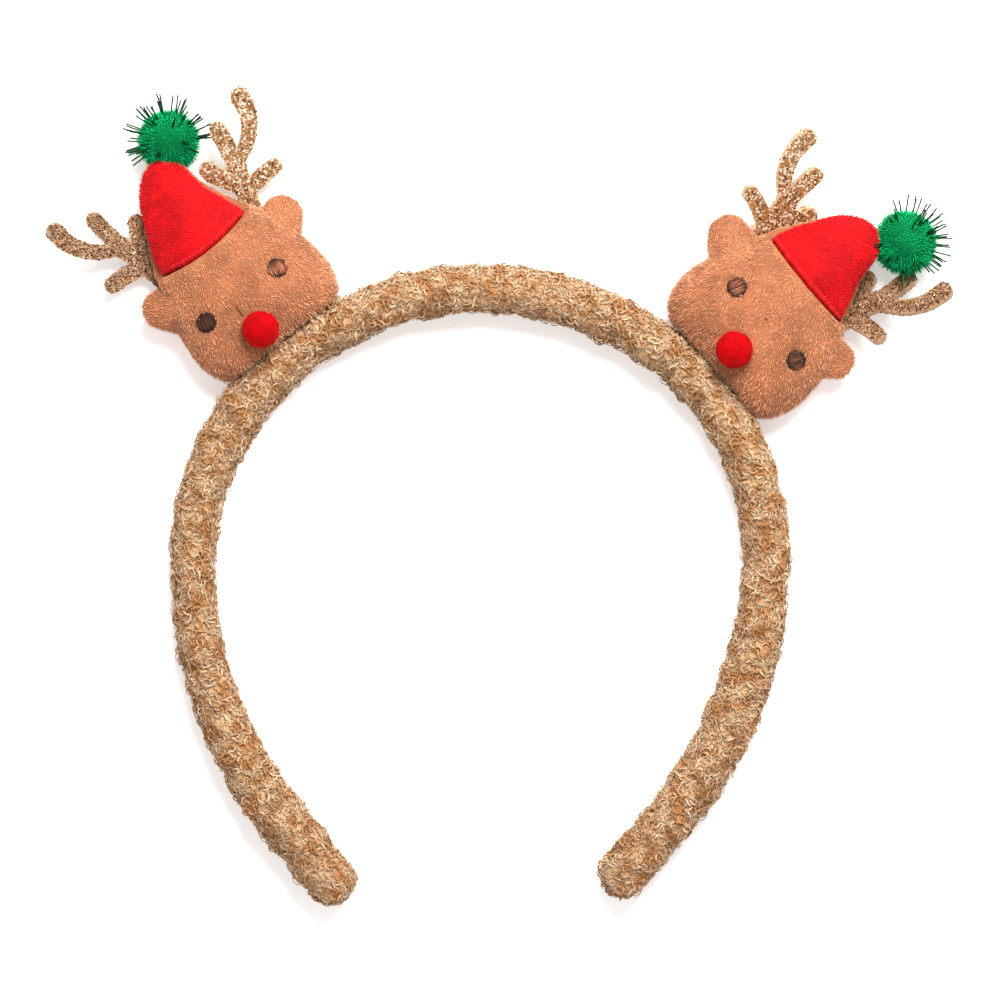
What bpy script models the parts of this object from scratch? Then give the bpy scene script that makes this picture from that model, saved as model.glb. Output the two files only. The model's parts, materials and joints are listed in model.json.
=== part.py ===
"""Plush reindeer headband, lying on its back with its front up. Metres, +Z up.

The origin is on the band's flat back, at the middle of the crown. +Y runs from the band's ends to
its crown and +X to the right as the front is seen. Each reindeer head is built in a frame of its own,
with x across the face, y from chin to hat and z to the front, on an empty that turns it round the band.
"""

import math
import random
from collections import namedtuple

import bmesh
import bpy
from mathutils import Matrix, Vector

GAP = 0.0003  # between two pieces that touch

# The band: a padded strip in looped fleece, bent to an open hoop. Each side runs down from the crown
# over four arcs of its centreline: over the head, beside it, down the leg and out at its end
BAND_THICKNESS = 0.0118  # from the inside of the hoop to its outside
BAND_DEPTH = 0.0150  # from its back to its front
BAND_PRESS = 0.0004  # how far its soft back is pressed flat where it lies
BAND_SQUARENESS = 2.4  # 2 gives an oval section, more a squarer one
BAND_STEP = 0.0070
BAND_SIDES = 16
END_ROUNDING = 0.0055
Arc = namedtuple("Arc", "turn_deg radius")
LEFT_ARCS = (Arc(58.4, 0.0704), Arc(30.0, 0.0618), Arc(40.1, 0.0956), Arc(5.0, 0.3000))
RIGHT_ARCS = (Arc(37.6, 0.0728), Arc(54.6, 0.0628), Arc(34.5, 0.0965), Arc(5.8, 0.3000))
Swell = namedtuple("Swell", "along left right")  # shares of a side's length and of the thickness
BAND_SWELLS = (
    Swell(0.00, 0.98, 0.98),
    Swell(0.15, 0.98, 1.01),
    Swell(0.38, 1.02, 0.99),
    Swell(0.56, 0.91, 0.97),
    Swell(0.74, 0.95, 1.08),
    Swell(0.88, 1.06, 1.01),
    Swell(1.00, 1.06, 1.02),
)

# The heads: stuffed cushions of short plush, each with a hat sewn to its brow
SEAM_LEVEL = 0.0080  # of the seam between front and back panels, above the surface it lies on
FACE_FRONT = 0.0120  # crown of the face above the seam
FACE_BACK = 0.0086  # crown of the back below the seam, pressed flat where it lies
CROWN_POWER = 2.5  # 2 gives a round crown, more a flatter one
HAT_BORDER = 0.0016  # of the back panel that shows beside the hat's sewn edge
HAT_SEAT = 0.0005  # top of the back panel above the seam
OUTLINE_POINTS = 56
RINGS = 7
Head = namedtuple(
    "Head",
    "name side along lean_deg chin_sink face_centre face_width chin brow"
    " hat_centre hat_width hat_height hat_lean hat_sag",
)
# Each stands on the band at a share of one side's length and leans from its outward way
HEADS = (
    Head(
        name="left",
        side=-1,
        along=0.2475,
        lean_deg=1.3,
        chin_sink=0.0035,
        face_centre=0.0013,
        face_width=0.0401,
        chin=0.0160,
        brow=0.0156,
        hat_centre=0.0006,
        hat_width=0.0262,
        hat_height=0.0236,
        hat_lean=0.0008,
        hat_sag=0.0023,
    ),
    Head(
        name="right",
        side=1,
        along=0.3008,
        lean_deg=2.6,
        chin_sink=0.0021,
        face_centre=-0.0007,
        face_width=0.0419,
        chin=0.0173,
        brow=0.0139,
        hat_centre=-0.0017,
        hat_width=0.0268,
        hat_height=0.0217,
        hat_lean=-0.0006,
        hat_sag=0.0010,
    ),
)
# Shares of half the face's width and of its height from chin to brow
FaceRow = namedtuple("FaceRow", "across up")
FACE_SIDE = (
    FaceRow(0.55, 0.00),
    FaceRow(0.83, 0.06),
    FaceRow(0.94, 0.16),
    FaceRow(0.99, 0.27),
    FaceRow(1.00, 0.38),
    FaceRow(0.97, 0.54),
    FaceRow(0.93, 0.68),
    FaceRow(0.84, 0.86),
)
# Shares of the hat's height, of half its width, of its border and of that width by which it bends
HatRow = namedtuple("HatRow", "up half_width bend border")
HAT_SIDE = (
    HatRow(0.00, 1.00, 0.00, 1.00),
    HatRow(0.14, 0.92, -0.04, 0.80),
    HatRow(0.30, 0.82, -0.05, 0.50),
    HatRow(0.45, 0.71, -0.05, 0.25),
    HatRow(0.60, 0.62, -0.03, 0.10),
    HatRow(0.75, 0.54, 0.01, 0.00),
    HatRow(0.88, 0.40, 0.06, 0.00),
    HatRow(0.96, 0.24, 0.09, 0.00),
)
# Shares of the body's height from chin to hat tip, and of the face's front and back crowns
LiftRow = namedtuple("LiftRow", "up front back")
LIFTS = (
    LiftRow(0.00, 1.00, 1.00),
    LiftRow(0.40, 1.00, 1.00),
    LiftRow(0.58, 0.90, 0.88),
    LiftRow(0.80, 0.92, 0.76),
    LiftRow(1.00, 1.25, 0.70),
)

# Ears: flat stuffed flaps sewn into the seam, as places on the head and half sizes
EAR_HALF_DEPTH = 0.0027
EAR_SQUARENESS = 2.2
EAR_SIDES = 18
EAR_RINGS = 8
Ear = namedtuple("Ear", "head name across up turn_deg half_length half_width")
EARS = (
    Ear("left", "outer", across=-0.0165, up=0.0095, turn_deg=175, half_length=0.0057, half_width=0.0057),
    Ear("left", "inner", across=0.0187, up=0.0093, turn_deg=8, half_length=0.0059, half_width=0.0057),
    Ear("right", "inner", across=-0.0208, up=0.0068, turn_deg=178, half_length=0.0063, half_width=0.0058),
    Ear("right", "outer", across=0.0166, up=0.0074, turn_deg=6, half_length=0.0057, half_width=0.0055),
)

# Antlers: cut from one sheet, with their roots in slots in the heads' backs
ANTLER_SHEET = 0.0016
ANTLER_HEIGHT = 0.0224  # from the root to the middle of the tallest tine's tip
TINE_STEPS = 7
# Shares of that height, to the right and up from the root, and of half widths
Tine = namedtuple("Tine", "start bend tip start_half tip_half")
TINES = (
    Tine(start=(0.12, -0.27), bend=(0.10, 0.12), tip=(0.16, 0.37), start_half=0.092, tip_half=0.114),
    Tine(start=(0.10, 0.14), bend=(-0.08, 0.31), tip=(-0.14, 0.43), start_half=0.090, tip_half=0.096),
    Tine(start=(0.15, 0.04), bend=(0.32, 0.13), tip=(0.52, 0.16), start_half=0.090, tip_half=0.090),
    Tine(start=(0.16, 0.33), bend=(0.17, 0.55), tip=(0.15, 0.78), start_half=0.096, tip_half=0.093),
    Tine(start=(0.19, 0.38), bend=(0.57, 0.60), tip=(0.53, 1.00), start_half=0.069, tip_half=0.105),
)
Antler = namedtuple("Antler", "head name side across up level turn_deg lean_deg spin_deg")
ANTLERS = (
    Antler("left", "outer", -1, -0.0109, 0.0203, level=0.0042, turn_deg=8, lean_deg=15, spin_deg=2),
    Antler("left", "inner", 1, 0.0132, 0.0194, level=0.0048, turn_deg=-12, lean_deg=15, spin_deg=5),
    Antler("right", "inner", -1, -0.0155, 0.0151, level=0.0050, turn_deg=4.5, lean_deg=7, spin_deg=26),
    Antler("right", "outer", 1, 0.0094, 0.0163, level=0.0050, turn_deg=-5, lean_deg=1, spin_deg=32),
)

# Felted nose balls and stitched eyes, as places on the face
NOSE_RADIUS = 0.0046
NOSE_STAND = 0.45  # share of its radius that the ball's middle stands above the face
EYE_RADIUS = 0.0023
EYE_RAISE = 0.0006
Spot = namedtuple("Spot", "head name across up")
NOSES = (
    Spot("left", "nose", -0.0014, -0.0093),
    Spot("right", "nose", 0.0001, -0.0102),
)
EYES = (
    Spot("left", "eye_outer", -0.0106, 0.0002),
    Spot("left", "eye_inner", 0.0108, -0.0002),
    Spot("right", "eye_inner", -0.0110, -0.0001),
    Spot("right", "eye_outer", 0.0114, -0.0003),
)

# Pompoms on the hats' tips, with strips of tinsel in tufts
TINSEL_WIDTH = 0.00045
TINSEL_REACH = 0.0032  # of a strip beyond the ball
TINSEL_ROOT = 0.80  # share of the ball's radius where a strip starts
TINSEL_SPREAD_DEG = 11  # of a tuft's strips
TINSEL_APART_DEG = 8  # least angle between two strips
POMPOM_LUMP = 0.035  # share of the radius by which the ball is uneven
Pompom = namedtuple("Pompom", "head across up level radius seed")
POMPOMS = (
    Pompom("left", across=0.0092, up=0.0405, level=0.0077, radius=0.0074, seed=4),
    Pompom("right", across=0.0064, up=0.0384, level=0.0082, radius=0.0077, seed=9),
)
# The way of each tuft, round from the head's right and up to the front
Tuft = namedtuple("Tuft", "head round_deg rise_deg strips")
TUFTS = (
    Tuft("left", 96, 5, 4),
    Tuft("left", 124, 15, 3),
    Tuft("left", 146, 5, 3),
    Tuft("left", 168, 10, 3),
    Tuft("left", 55, 15, 3),
    Tuft("left", 28, 10, 4),
    Tuft("left", -38, 15, 4),
    Tuft("left", 20, 60, 2),
    Tuft("left", 95, 50, 2),
    Tuft("left", 200, 50, 1),
    Tuft("right", 120, 10, 3),
    Tuft("right", 98, 20, 3),
    Tuft("right", 78, 10, 4),
    Tuft("right", 52, 10, 4),
    Tuft("right", 10, 15, 2),
    Tuft("right", -45, 20, 3),
    Tuft("right", 150, 5, 2),
    Tuft("right", 110, 55, 3),
    Tuft("right", -80, 45, 2),
)

COLOURS = {
    "band": ((0.52, 0.34, 0.19, 1), 0.90),
    "plush": ((0.62, 0.30, 0.17, 1), 0.90),
    "hat": ((0.80, 0.02, 0.03, 1), 0.85),
    "pompom": ((0.01, 0.36, 0.16, 1), 0.90),
    "nose": ((0.75, 0.01, 0.02, 1), 0.90),
    "eye": ((0.09, 0.03, 0.02, 1), 0.60),
    "antler": ((0.50, 0.32, 0.16, 1), 0.35),
}


def material(name):
    """The plain finish of this name, made on its first use."""
    found = bpy.data.materials.get(name)
    if found:
        return found
    colour, roughness = COLOURS[name]
    made = bpy.data.materials.new(name)
    made.use_nodes = True
    shader = made.node_tree.nodes["Principled BSDF"]
    shader.inputs["Base Color"].default_value = colour
    shader.inputs["Roughness"].default_value = roughness
    shader.inputs["Metallic"].default_value = 0.6 if name == "antler" else 0.0
    return made


def mesh_of(name, shape):
    """A mesh from a bmesh, with its faces turned outwards."""
    bmesh.ops.recalc_face_normals(shape, faces=shape.faces)
    mesh = bpy.data.meshes.new(name)
    shape.to_mesh(mesh)
    shape.free()
    return mesh


def place(name, mesh, finish, parent=None):
    """A named piece in the scene."""
    mesh.materials.clear()
    mesh.materials.append(material(finish))
    mesh.shade_smooth()
    mesh.set_sharp_from_angle(angle=math.radians(50))
    piece = bpy.data.objects.new(name, mesh)
    bpy.context.scene.collection.objects.link(piece)
    piece.parent = parent
    return piece


def place_cutter(name, mesh, parent=None):
    """A helper that cuts other pieces and isn't one itself."""
    cutter = bpy.data.objects.new(name, mesh)
    bpy.context.scene.collection.objects.link(cutter)
    cutter.parent = parent
    cutter.hide_render = True
    cutter.display_type = "WIRE"
    return cutter


def combine(piece, other, operation):
    """Cuts a piece with another, joins it to it or keeps what they share."""
    step = piece.modifiers.new(f"{operation} {other.name}", "BOOLEAN")
    step.operation = operation
    step.object = other


def looked_up(rows, column, along):
    """A column's value in a table whose first column grows, between two of its rows."""
    for low, high in zip(rows, rows[1:]):
        if along <= high[0]:
            share = (along - low[0]) / (high[0] - low[0])
            smooth = share * share * (3 - 2 * share)
            return getattr(low, column) + (getattr(high, column) - getattr(low, column)) * smooth
    return getattr(rows[-1], column)


def signed_power(value, power):
    return math.copysign(abs(value) ** power, value)


# The band


def arcs_of(side):
    return LEFT_ARCS if side < 0 else RIGHT_ARCS


def side_length(side):
    """From the middle of the crown to one end of the band."""
    return sum(math.radians(arc.turn_deg) * arc.radius for arc in arcs_of(side))


def band_point(side, distance):
    """The centreline this far down one side from the crown, and the way outwards there."""
    centre, outwards, turn, left = Vector((0, 0)), Vector((0, 1)), 0.0, distance
    for arc in arcs_of(side):
        point = centre if not turn else point
        centre = point - outwards * arc.radius
        step = min(left / arc.radius, math.radians(arc.turn_deg))
        turn += step
        left -= step * arc.radius
        outwards = Vector((side * math.sin(turn), math.cos(turn)))
        point = centre + outwards * arc.radius
        if left <= 0:
            break
    return point, outwards


def band_half_thickness(side, distance):
    column = "left" if side < 0 else "right"
    return BAND_THICKNESS / 2 * looked_up(BAND_SWELLS, column, distance / side_length(side))


def band_ring(side, distance, taper, grow):
    """The band's section at one place, as points round it. Its back is flat on the surface it lies on."""
    middle, outwards = band_point(side, distance)
    half_thickness = band_half_thickness(side, distance) * taper + grow
    half_depth = ((BAND_DEPTH + BAND_PRESS) / 2) * taper + grow
    level = (BAND_DEPTH - BAND_PRESS) / 2
    ring = []
    for step in range(BAND_SIDES):
        angle = 2 * math.pi * (step + 0.5) / BAND_SIDES
        out = half_thickness * signed_power(math.cos(angle), 2 / BAND_SQUARENESS)
        up = level + half_depth * signed_power(math.sin(angle), 2 / BAND_SQUARENESS)
        ring.append(Vector((*(middle + outwards * out), max(up, -grow))))
    return ring


def side_stations(side):
    """Distances and tapers from the crown to one end, which is rounded."""
    straight = side_length(side) - END_ROUNDING
    steps = math.ceil(straight / BAND_STEP)
    stations = [(straight * step / steps, 1.0) for step in range(steps + 1)]
    for turn_deg in (35, 60, 76):
        turn = math.radians(turn_deg)
        stations.append((straight + END_ROUNDING * math.sin(turn), math.cos(turn) ** 0.6))
    return stations


def band_mesh(name, grow=0.0):
    """The whole band as rings from its left end over the crown to its right end."""
    left = [(-1, *station) for station in reversed(side_stations(-1)[1:])]
    right = [(1, *station) for station in side_stations(1)]
    shape = bmesh.new()
    rings = [[shape.verts.new(point) for point in band_ring(*row, grow)] for row in left + right]
    for ring, following in zip(rings, rings[1:]):
        for side in range(BAND_SIDES):
            after = (side + 1) % BAND_SIDES
            shape.faces.new((ring[side], ring[after], following[after], following[side]))
    shape.faces.new(rings[0])
    shape.faces.new(reversed(rings[-1]))
    return mesh_of(name, shape)


# The heads' shape: one cushion of face and hat, from which both are cut


def smooth_loop(corners, count):
    """A smooth closed curve through the corners, as evenly spaced points."""
    fine = []
    total = len(corners)
    for index in range(total):
        before, start, end, after = (corners[(index + shift) % total] for shift in (-1, 0, 1, 2))
        for step in range(12):
            t = step / 12
            fine.append(
                0.5
                * (
                    2 * start
                    + (end - before) * t
                    + (2 * before - 5 * start + 4 * end - after) * t * t
                    + (3 * start - before - 3 * end + after) * t * t * t
                )
            )
    lengths = [0.0]
    for start, end in zip(fine, fine[1:] + fine[:1]):
        lengths.append(lengths[-1] + (end - start).length)
    loop = []
    index = 0
    for step in range(count):
        wanted = lengths[-1] * step / count
        while lengths[index + 1] < wanted:
            index += 1
        share = (wanted - lengths[index]) / (lengths[index + 1] - lengths[index])
        loop.append(fine[index].lerp(fine[(index + 1) % len(fine)], share))
    return loop


def hat_point(head, row, side, border):
    """A place on the hat's edge, or on the edge of the back panel beside it."""
    half = head.hat_width / 2
    middle = head.hat_centre + head.hat_lean * row.up + half * row.bend
    out = half * row.half_width + border * HAT_BORDER * row.border
    return Vector((middle + side * out, head.brow + head.hat_height * row.up))


def body_outline(head, border=1):
    """The seam round a head and its hat, anticlockwise from the chin. Without a border the hat's own."""
    face_height = head.chin + head.brow

    def face_point(row, side):
        across = head.face_centre + side * head.face_width / 2 * row.across
        return Vector((across, face_height * row.up - head.chin))

    last = HAT_SIDE[-1]
    tip = Vector((head.hat_centre + head.hat_lean + head.hat_width / 2 * last.bend, head.brow + head.hat_height))
    corners = [face_point(row, 1) for row in FACE_SIDE]
    corners += [hat_point(head, row, 1, border) for row in HAT_SIDE]
    corners.append(tip)
    corners += [hat_point(head, row, -1, border) for row in reversed(HAT_SIDE)]
    corners += [face_point(row, -1) for row in reversed(FACE_SIDE)]
    return smooth_loop(corners, OUTLINE_POINTS)


def outline_reach(outline, centre, direction):
    """How far the outline is from the centre in a direction."""
    for start, end in zip(outline, outline[1:] + outline[:1]):
        side = end - start
        across = direction.x * side.y - direction.y * side.x
        if abs(across) < 1e-12:
            continue
        away = start - centre
        reach = (away.x * side.y - away.y * side.x) / across
        along = (away.x * direction.y - away.y * direction.x) / across
        if reach > 0 and -1e-9 <= along <= 1 + 1e-9:
            return reach
    return 0.0


def crown(share):
    """The cushion's height, 1 in its middle and 0 at its seam."""
    return math.sqrt(max(0.0, 1 - share**CROWN_POWER))


def lift(head, up, column):
    whole = head.chin + head.brow + head.hat_height
    return looked_up(LIFTS, column, min(1.0, max(0.0, (up + head.chin) / whole)))


def face_level(head, across, up):
    """The height of the face's front at a place on it."""
    centre = Vector((head.face_centre, 0))
    away = Vector((across, up)) - centre
    reach = outline_reach(body_outline(head), centre, away.normalized())
    return SEAM_LEVEL + FACE_FRONT * lift(head, up, "front") * crown(away.length / reach)


def cushion_rings(head, outline, level):
    """Rings of points from the middle of a cushion to its seam. level gives a point's height."""
    centre = Vector((head.face_centre, 0))
    rings = []
    for ring in range(1, RINGS):
        share = math.sin(math.pi / 2 * ring / RINGS) ** 0.9
        rings.append([Vector((*(p := centre.lerp(edge, share)), level(share, p.y))) for edge in outline])
    return Vector((*centre, level(0.0, centre.y))), rings


def skin(shape, rings, middle):
    """Faces from a cushion's middle over its rings."""
    for side in range(len(rings[0])):
        after = (side + 1) % len(rings[0])
        shape.faces.new((middle, rings[0][side], rings[0][after]))
        for ring, following in zip(rings, rings[1:]):
            shape.faces.new((ring[side], following[side], following[after], ring[after]))


def grown(name, shape, grow):
    """A mesh from a shape whose surface is moved outwards."""
    bmesh.ops.recalc_face_normals(shape, faces=shape.faces)
    shape.normal_update()
    for vert in shape.verts:
        vert.co += vert.normal * grow
    return mesh_of(name, shape)


def body_mesh(head, grow=0.0):
    """Face, hat and back as one closed cushion, moved outwards by grow."""
    outline = body_outline(head)

    def front(share, up):
        return SEAM_LEVEL + FACE_FRONT * lift(head, up, "front") * crown(share)

    def back(share, up):
        return max(0.0, SEAM_LEVEL - FACE_BACK * lift(head, up, "back") * crown(share))

    shape = bmesh.new()
    seam = [shape.verts.new((*edge, SEAM_LEVEL)) for edge in outline]
    for level in (front, back):
        middle, rings = cushion_rings(head, outline, level)
        verts = [[shape.verts.new(point) for point in ring] for ring in rings]
        skin(shape, [*verts, seam], shape.verts.new(middle))
    return grown(f"{head.name}_body", shape, grow)


def hat_mesh(head, grow=0.0):
    """The hat's stuffed front, on the back panel behind it, before its lower end is cut off."""
    outline = body_outline(head, border=0)
    seat = SEAM_LEVEL + HAT_SEAT + GAP

    def front(share, up):
        return seat + (SEAM_LEVEL + FACE_FRONT - seat) * lift(head, up, "front") * crown(share)

    shape = bmesh.new()
    middle, rings = cushion_rings(head, outline, front)
    verts = [[shape.verts.new(point) for point in ring] for ring in rings]
    verts.append([shape.verts.new((*edge, seat)) for edge in outline])
    skin(shape, verts, shape.verts.new(middle))
    shape.faces.new(verts[-1])
    return grown(f"{head.name}_hat", shape, grow)


def block_mesh(name, outline, low, high):
    """A plate of any outline between two levels."""
    shape = bmesh.new()
    floor = [shape.verts.new((*point, low)) for point in outline]
    roof = [shape.verts.new((*point, high)) for point in outline]
    shape.faces.new(reversed(floor))
    shape.faces.new(roof)
    for side in range(len(outline)):
        after = (side + 1) % len(outline)
        shape.faces.new((floor[side], floor[after], roof[after], roof[side]))
    return mesh_of(name, shape)


def hat_line(head, rise):
    """The hat's sewn edge from left to right, past both sides of the head."""
    line = []
    for step in range(-12, 13):
        share = step / 6
        up = head.brow - head.hat_sag * max(0.0, 1 - share * share) + rise
        line.append(Vector((head.hat_centre + head.hat_width / 2 * share, up)))
    return line


def add_head(head, frame, band_seat):
    """The face cushion with its back panel, seated on the band, and the hat before it."""
    top = head.brow + head.hat_height + head.chin
    high = SEAM_LEVEL + FACE_FRONT * 2
    above = hat_line(head, 0.0)
    above += [Vector((above[-1].x, top)), Vector((above[0].x, top))]
    below = hat_line(head, GAP)
    below += [Vector((below[-1].x, -top)), Vector((below[0].x, -top))]
    hat_room = place_cutter(
        f"{head.name}_hat_room",
        block_mesh(f"{head.name}_hat_room", above, SEAM_LEVEL + HAT_SEAT, high),
        frame,
    )
    face_room = place_cutter(
        f"{head.name}_face_room", block_mesh(f"{head.name}_face_room", below, 0.0, high), frame
    )
    face = place(f"{head.name}_head", body_mesh(head), "plush", frame)
    combine(face, hat_room, "DIFFERENCE")
    combine(face, band_seat, "DIFFERENCE")
    hat = place(f"{head.name}_hat", hat_mesh(head), "hat", frame)
    combine(hat, face_room, "DIFFERENCE")
    return face


# What is sewn and glued to the heads


def ear_mesh(ear):
    """A flat rounded flap, lying across the seam."""
    shape = bmesh.new()
    rows = []
    power = 2 / EAR_SQUARENESS
    for ring in range(1, EAR_RINGS):
        tilt = math.pi * ring / EAR_RINGS - math.pi / 2
        row = []
        for side in range(EAR_SIDES):
            angle = 2 * math.pi * side / EAR_SIDES
            reach = math.cos(tilt)
            row.append(
                shape.verts.new(
                    (
                        ear.half_length * reach * signed_power(math.cos(angle), power),
                        ear.half_width * reach * signed_power(math.sin(angle), power),
                        EAR_HALF_DEPTH * math.sin(tilt),
                    )
                )
            )
        rows.append(row)
    under = shape.verts.new((0, 0, -EAR_HALF_DEPTH))
    over = shape.verts.new((0, 0, EAR_HALF_DEPTH))
    for side in range(EAR_SIDES):
        after = (side + 1) % EAR_SIDES
        shape.faces.new((under, rows[0][after], rows[0][side]))
        shape.faces.new((over, rows[-1][side], rows[-1][after]))
        for row, following in zip(rows, rows[1:]):
            shape.faces.new((row[side], row[after], following[after], following[side]))
    return mesh_of(f"{ear.head}_ear_{ear.name}", shape)


def add_ear(ear, frame, rooms):
    piece = place(f"{ear.head}_ear_{ear.name}", ear_mesh(ear), "plush", frame)
    piece.location = (ear.across, ear.up, SEAM_LEVEL)
    piece.rotation_euler = (0, 0, math.radians(ear.turn_deg))
    for room in rooms:
        combine(piece, room, "DIFFERENCE")


def tine_outline(tine, side, grow):
    """One tine as a strip with round ends along a bent line."""
    start, bend, tip = (
        Vector((side * point[0], point[1])) * ANTLER_HEIGHT for point in (tine.start, tine.bend, tine.tip)
    )
    left, right = [], []
    for step in range(TINE_STEPS + 1):
        t = step / TINE_STEPS
        point = start * (1 - t) ** 2 + bend * 2 * t * (1 - t) + tip * t * t
        along = ((bend - start) * (1 - t) + (tip - bend) * t).normalized()
        half = (tine.start_half + (tine.tip_half - tine.start_half) * t) * ANTLER_HEIGHT + grow
        across = Vector((-along.y, along.x)) * half
        left.append(point + across)
        right.append(point - across)
    ends = []
    for middle, edge in ((tip, right[-1]), (start, left[0])):
        arc = []
        for step in range(1, 8):
            turn = Matrix.Rotation(math.pi * step / 8, 2)
            arc.append(middle + turn @ (edge - middle))
        ends.append(arc)
    return right + ends[0] + left[::-1] + ends[1]


def antler_mesh(name, side, grow):
    """An antler cut from sheet, as its tines joined into one plate."""
    half = ANTLER_SHEET / 2 + grow
    tines = [
        place_cutter(f"{name}_tine", block_mesh(f"{name}_tine", tine_outline(tine, side, grow), -half, half))
        for tine in TINES
    ]
    for tine in tines[1:]:
        combine(tines[0], tine, "UNION")
    bpy.context.view_layer.update()
    joined = tines[0].evaluated_get(bpy.context.evaluated_depsgraph_get())
    mesh = bpy.data.meshes.new_from_object(joined)
    mesh.name = name
    for tine in tines:
        bpy.data.objects.remove(tine)
    return mesh


def add_antler(antler, frame, face, sheets):
    """An antler with its root in a slot in the head. Returns what cuts the slot."""
    name = f"{antler.head}_antler_{antler.name}"
    piece = place(name, sheets[antler.side].copy(), "antler", frame)
    slot = place_cutter(f"{name}_slot", sheets[antler.side, "slot"], frame)
    turned = Matrix.Rotation(math.radians(antler.turn_deg), 4, "Z")
    leaned = Matrix.Rotation(math.radians(antler.lean_deg), 4, "X")
    spun = Matrix.Rotation(math.radians(-antler.side * antler.spin_deg), 4, "Y")
    spot = Matrix.Translation((antler.across, antler.up, antler.level)) @ turned @ leaned @ spun
    piece.matrix_local = spot
    slot.matrix_local = spot
    combine(face, slot, "DIFFERENCE")
    return slot


def ball_mesh(name, radius, fineness):
    shape = bmesh.new()
    bmesh.ops.create_icosphere(shape, subdivisions=fineness, radius=radius)
    return mesh_of(name, shape)


def add_nose(spot, head, frame, body_room):
    """A felted ball glued to the face, flat where it meets it."""
    name = f"{spot.head}_{spot.name}"
    piece = place(name, ball_mesh(name, NOSE_RADIUS, 3 - 1), "nose", frame)
    level = face_level(head, spot.across, spot.up) + NOSE_STAND * NOSE_RADIUS
    piece.location = (spot.across, spot.up, level)
    combine(piece, body_room, "DIFFERENCE")


def add_eye(spot, frame, body_room, eye_room):
    """A patch of satin stitch that follows the face."""
    name = f"{spot.head}_{spot.name}"
    outline = []
    for step in range(14):
        angle = 2 * math.pi * step / 14
        outline.append(
            Vector((spot.across + EYE_RADIUS * math.cos(angle), spot.up + EYE_RADIUS * math.sin(angle)))
        )
    mesh = block_mesh(name, outline, SEAM_LEVEL, SEAM_LEVEL + FACE_FRONT * 2)
    piece = place(name, mesh, "eye", frame)
    combine(piece, eye_room, "INTERSECT")
    combine(piece, body_room, "DIFFERENCE")


def tinsel_directions(pompom):
    """The ways in which the strips stand out, tuft by tuft."""
    chance = random.Random(pompom.seed)
    found = []
    for tuft in TUFTS:
        wanted = tuft.strips if tuft.head == pompom.head else 0
        while wanted:
            turn = math.radians(tuft.round_deg + chance.uniform(-1, 1) * TINSEL_SPREAD_DEG)
            rise = math.radians(tuft.rise_deg + chance.uniform(-1, 1) * TINSEL_SPREAD_DEG)
            flat = math.cos(rise)
            way = Vector((flat * math.cos(turn), flat * math.sin(turn), math.sin(rise)))
            if all(way.angle(other) > math.radians(TINSEL_APART_DEG) for other in found):
                found.append(way)
                wanted -= 1
    return found


def tinsel_mesh(name, pompom):
    """The strips round a pompom, before they are joined to it."""
    shape = bmesh.new()
    low, high = pompom.radius * TINSEL_ROOT, pompom.radius + TINSEL_REACH
    for way in tinsel_directions(pompom):
        strip = bmesh.ops.create_cube(shape, size=1.0)["verts"]
        size = Matrix.Diagonal((TINSEL_WIDTH, TINSEL_WIDTH, high - low, 1))
        turned = way.to_track_quat("Z", "Y").to_matrix().to_4x4()
        lifted = Matrix.Translation((0, 0, (low + high) / 2))
        bmesh.ops.transform(shape, matrix=turned @ lifted @ size, verts=strip)
    return mesh_of(name, shape)


def pompom_mesh(name, pompom):
    """A fluffy ball, a little uneven."""
    shape = bmesh.new()
    bmesh.ops.create_icosphere(shape, subdivisions=3 - 1, radius=pompom.radius)
    for vert in shape.verts:
        way = vert.co.normalized()
        wave = math.sin(5 * way.x + pompom.seed) * math.sin(4 * way.y) + math.sin(6 * way.z)
        vert.co = way * pompom.radius * (1 + POMPOM_LUMP * (wave / 2 - 0.5))
    return mesh_of(name, shape)


def add_pompom(pompom, frame, rooms):
    name = f"{pompom.head}_pompom"
    piece = place(name, pompom_mesh(name, pompom), "pompom", frame)
    piece.location = (pompom.across, pompom.up, pompom.level)
    strips = place_cutter(f"{name}_tinsel", tinsel_mesh(f"{name}_tinsel", pompom), frame)
    strips.location = piece.location
    combine(piece, strips, "UNION")
    for room in rooms:
        combine(piece, room, "DIFFERENCE")


def head_frame(head):
    """An empty between a head's eyes, turned as the head leans out from the band."""
    distance = side_length(head.side) * head.along
    middle, outwards = band_point(head.side, distance)
    spot = middle + outwards * (band_half_thickness(head.side, distance) - head.chin_sink + head.chin)
    frame = bpy.data.objects.new(f"{head.name}_head_frame", None)
    bpy.context.scene.collection.objects.link(frame)
    frame.location = (*spot, 0)
    frame.rotation_euler = (0, 0, -math.atan2(outwards.x, outwards.y) - math.radians(head.lean_deg))
    return frame


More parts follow.
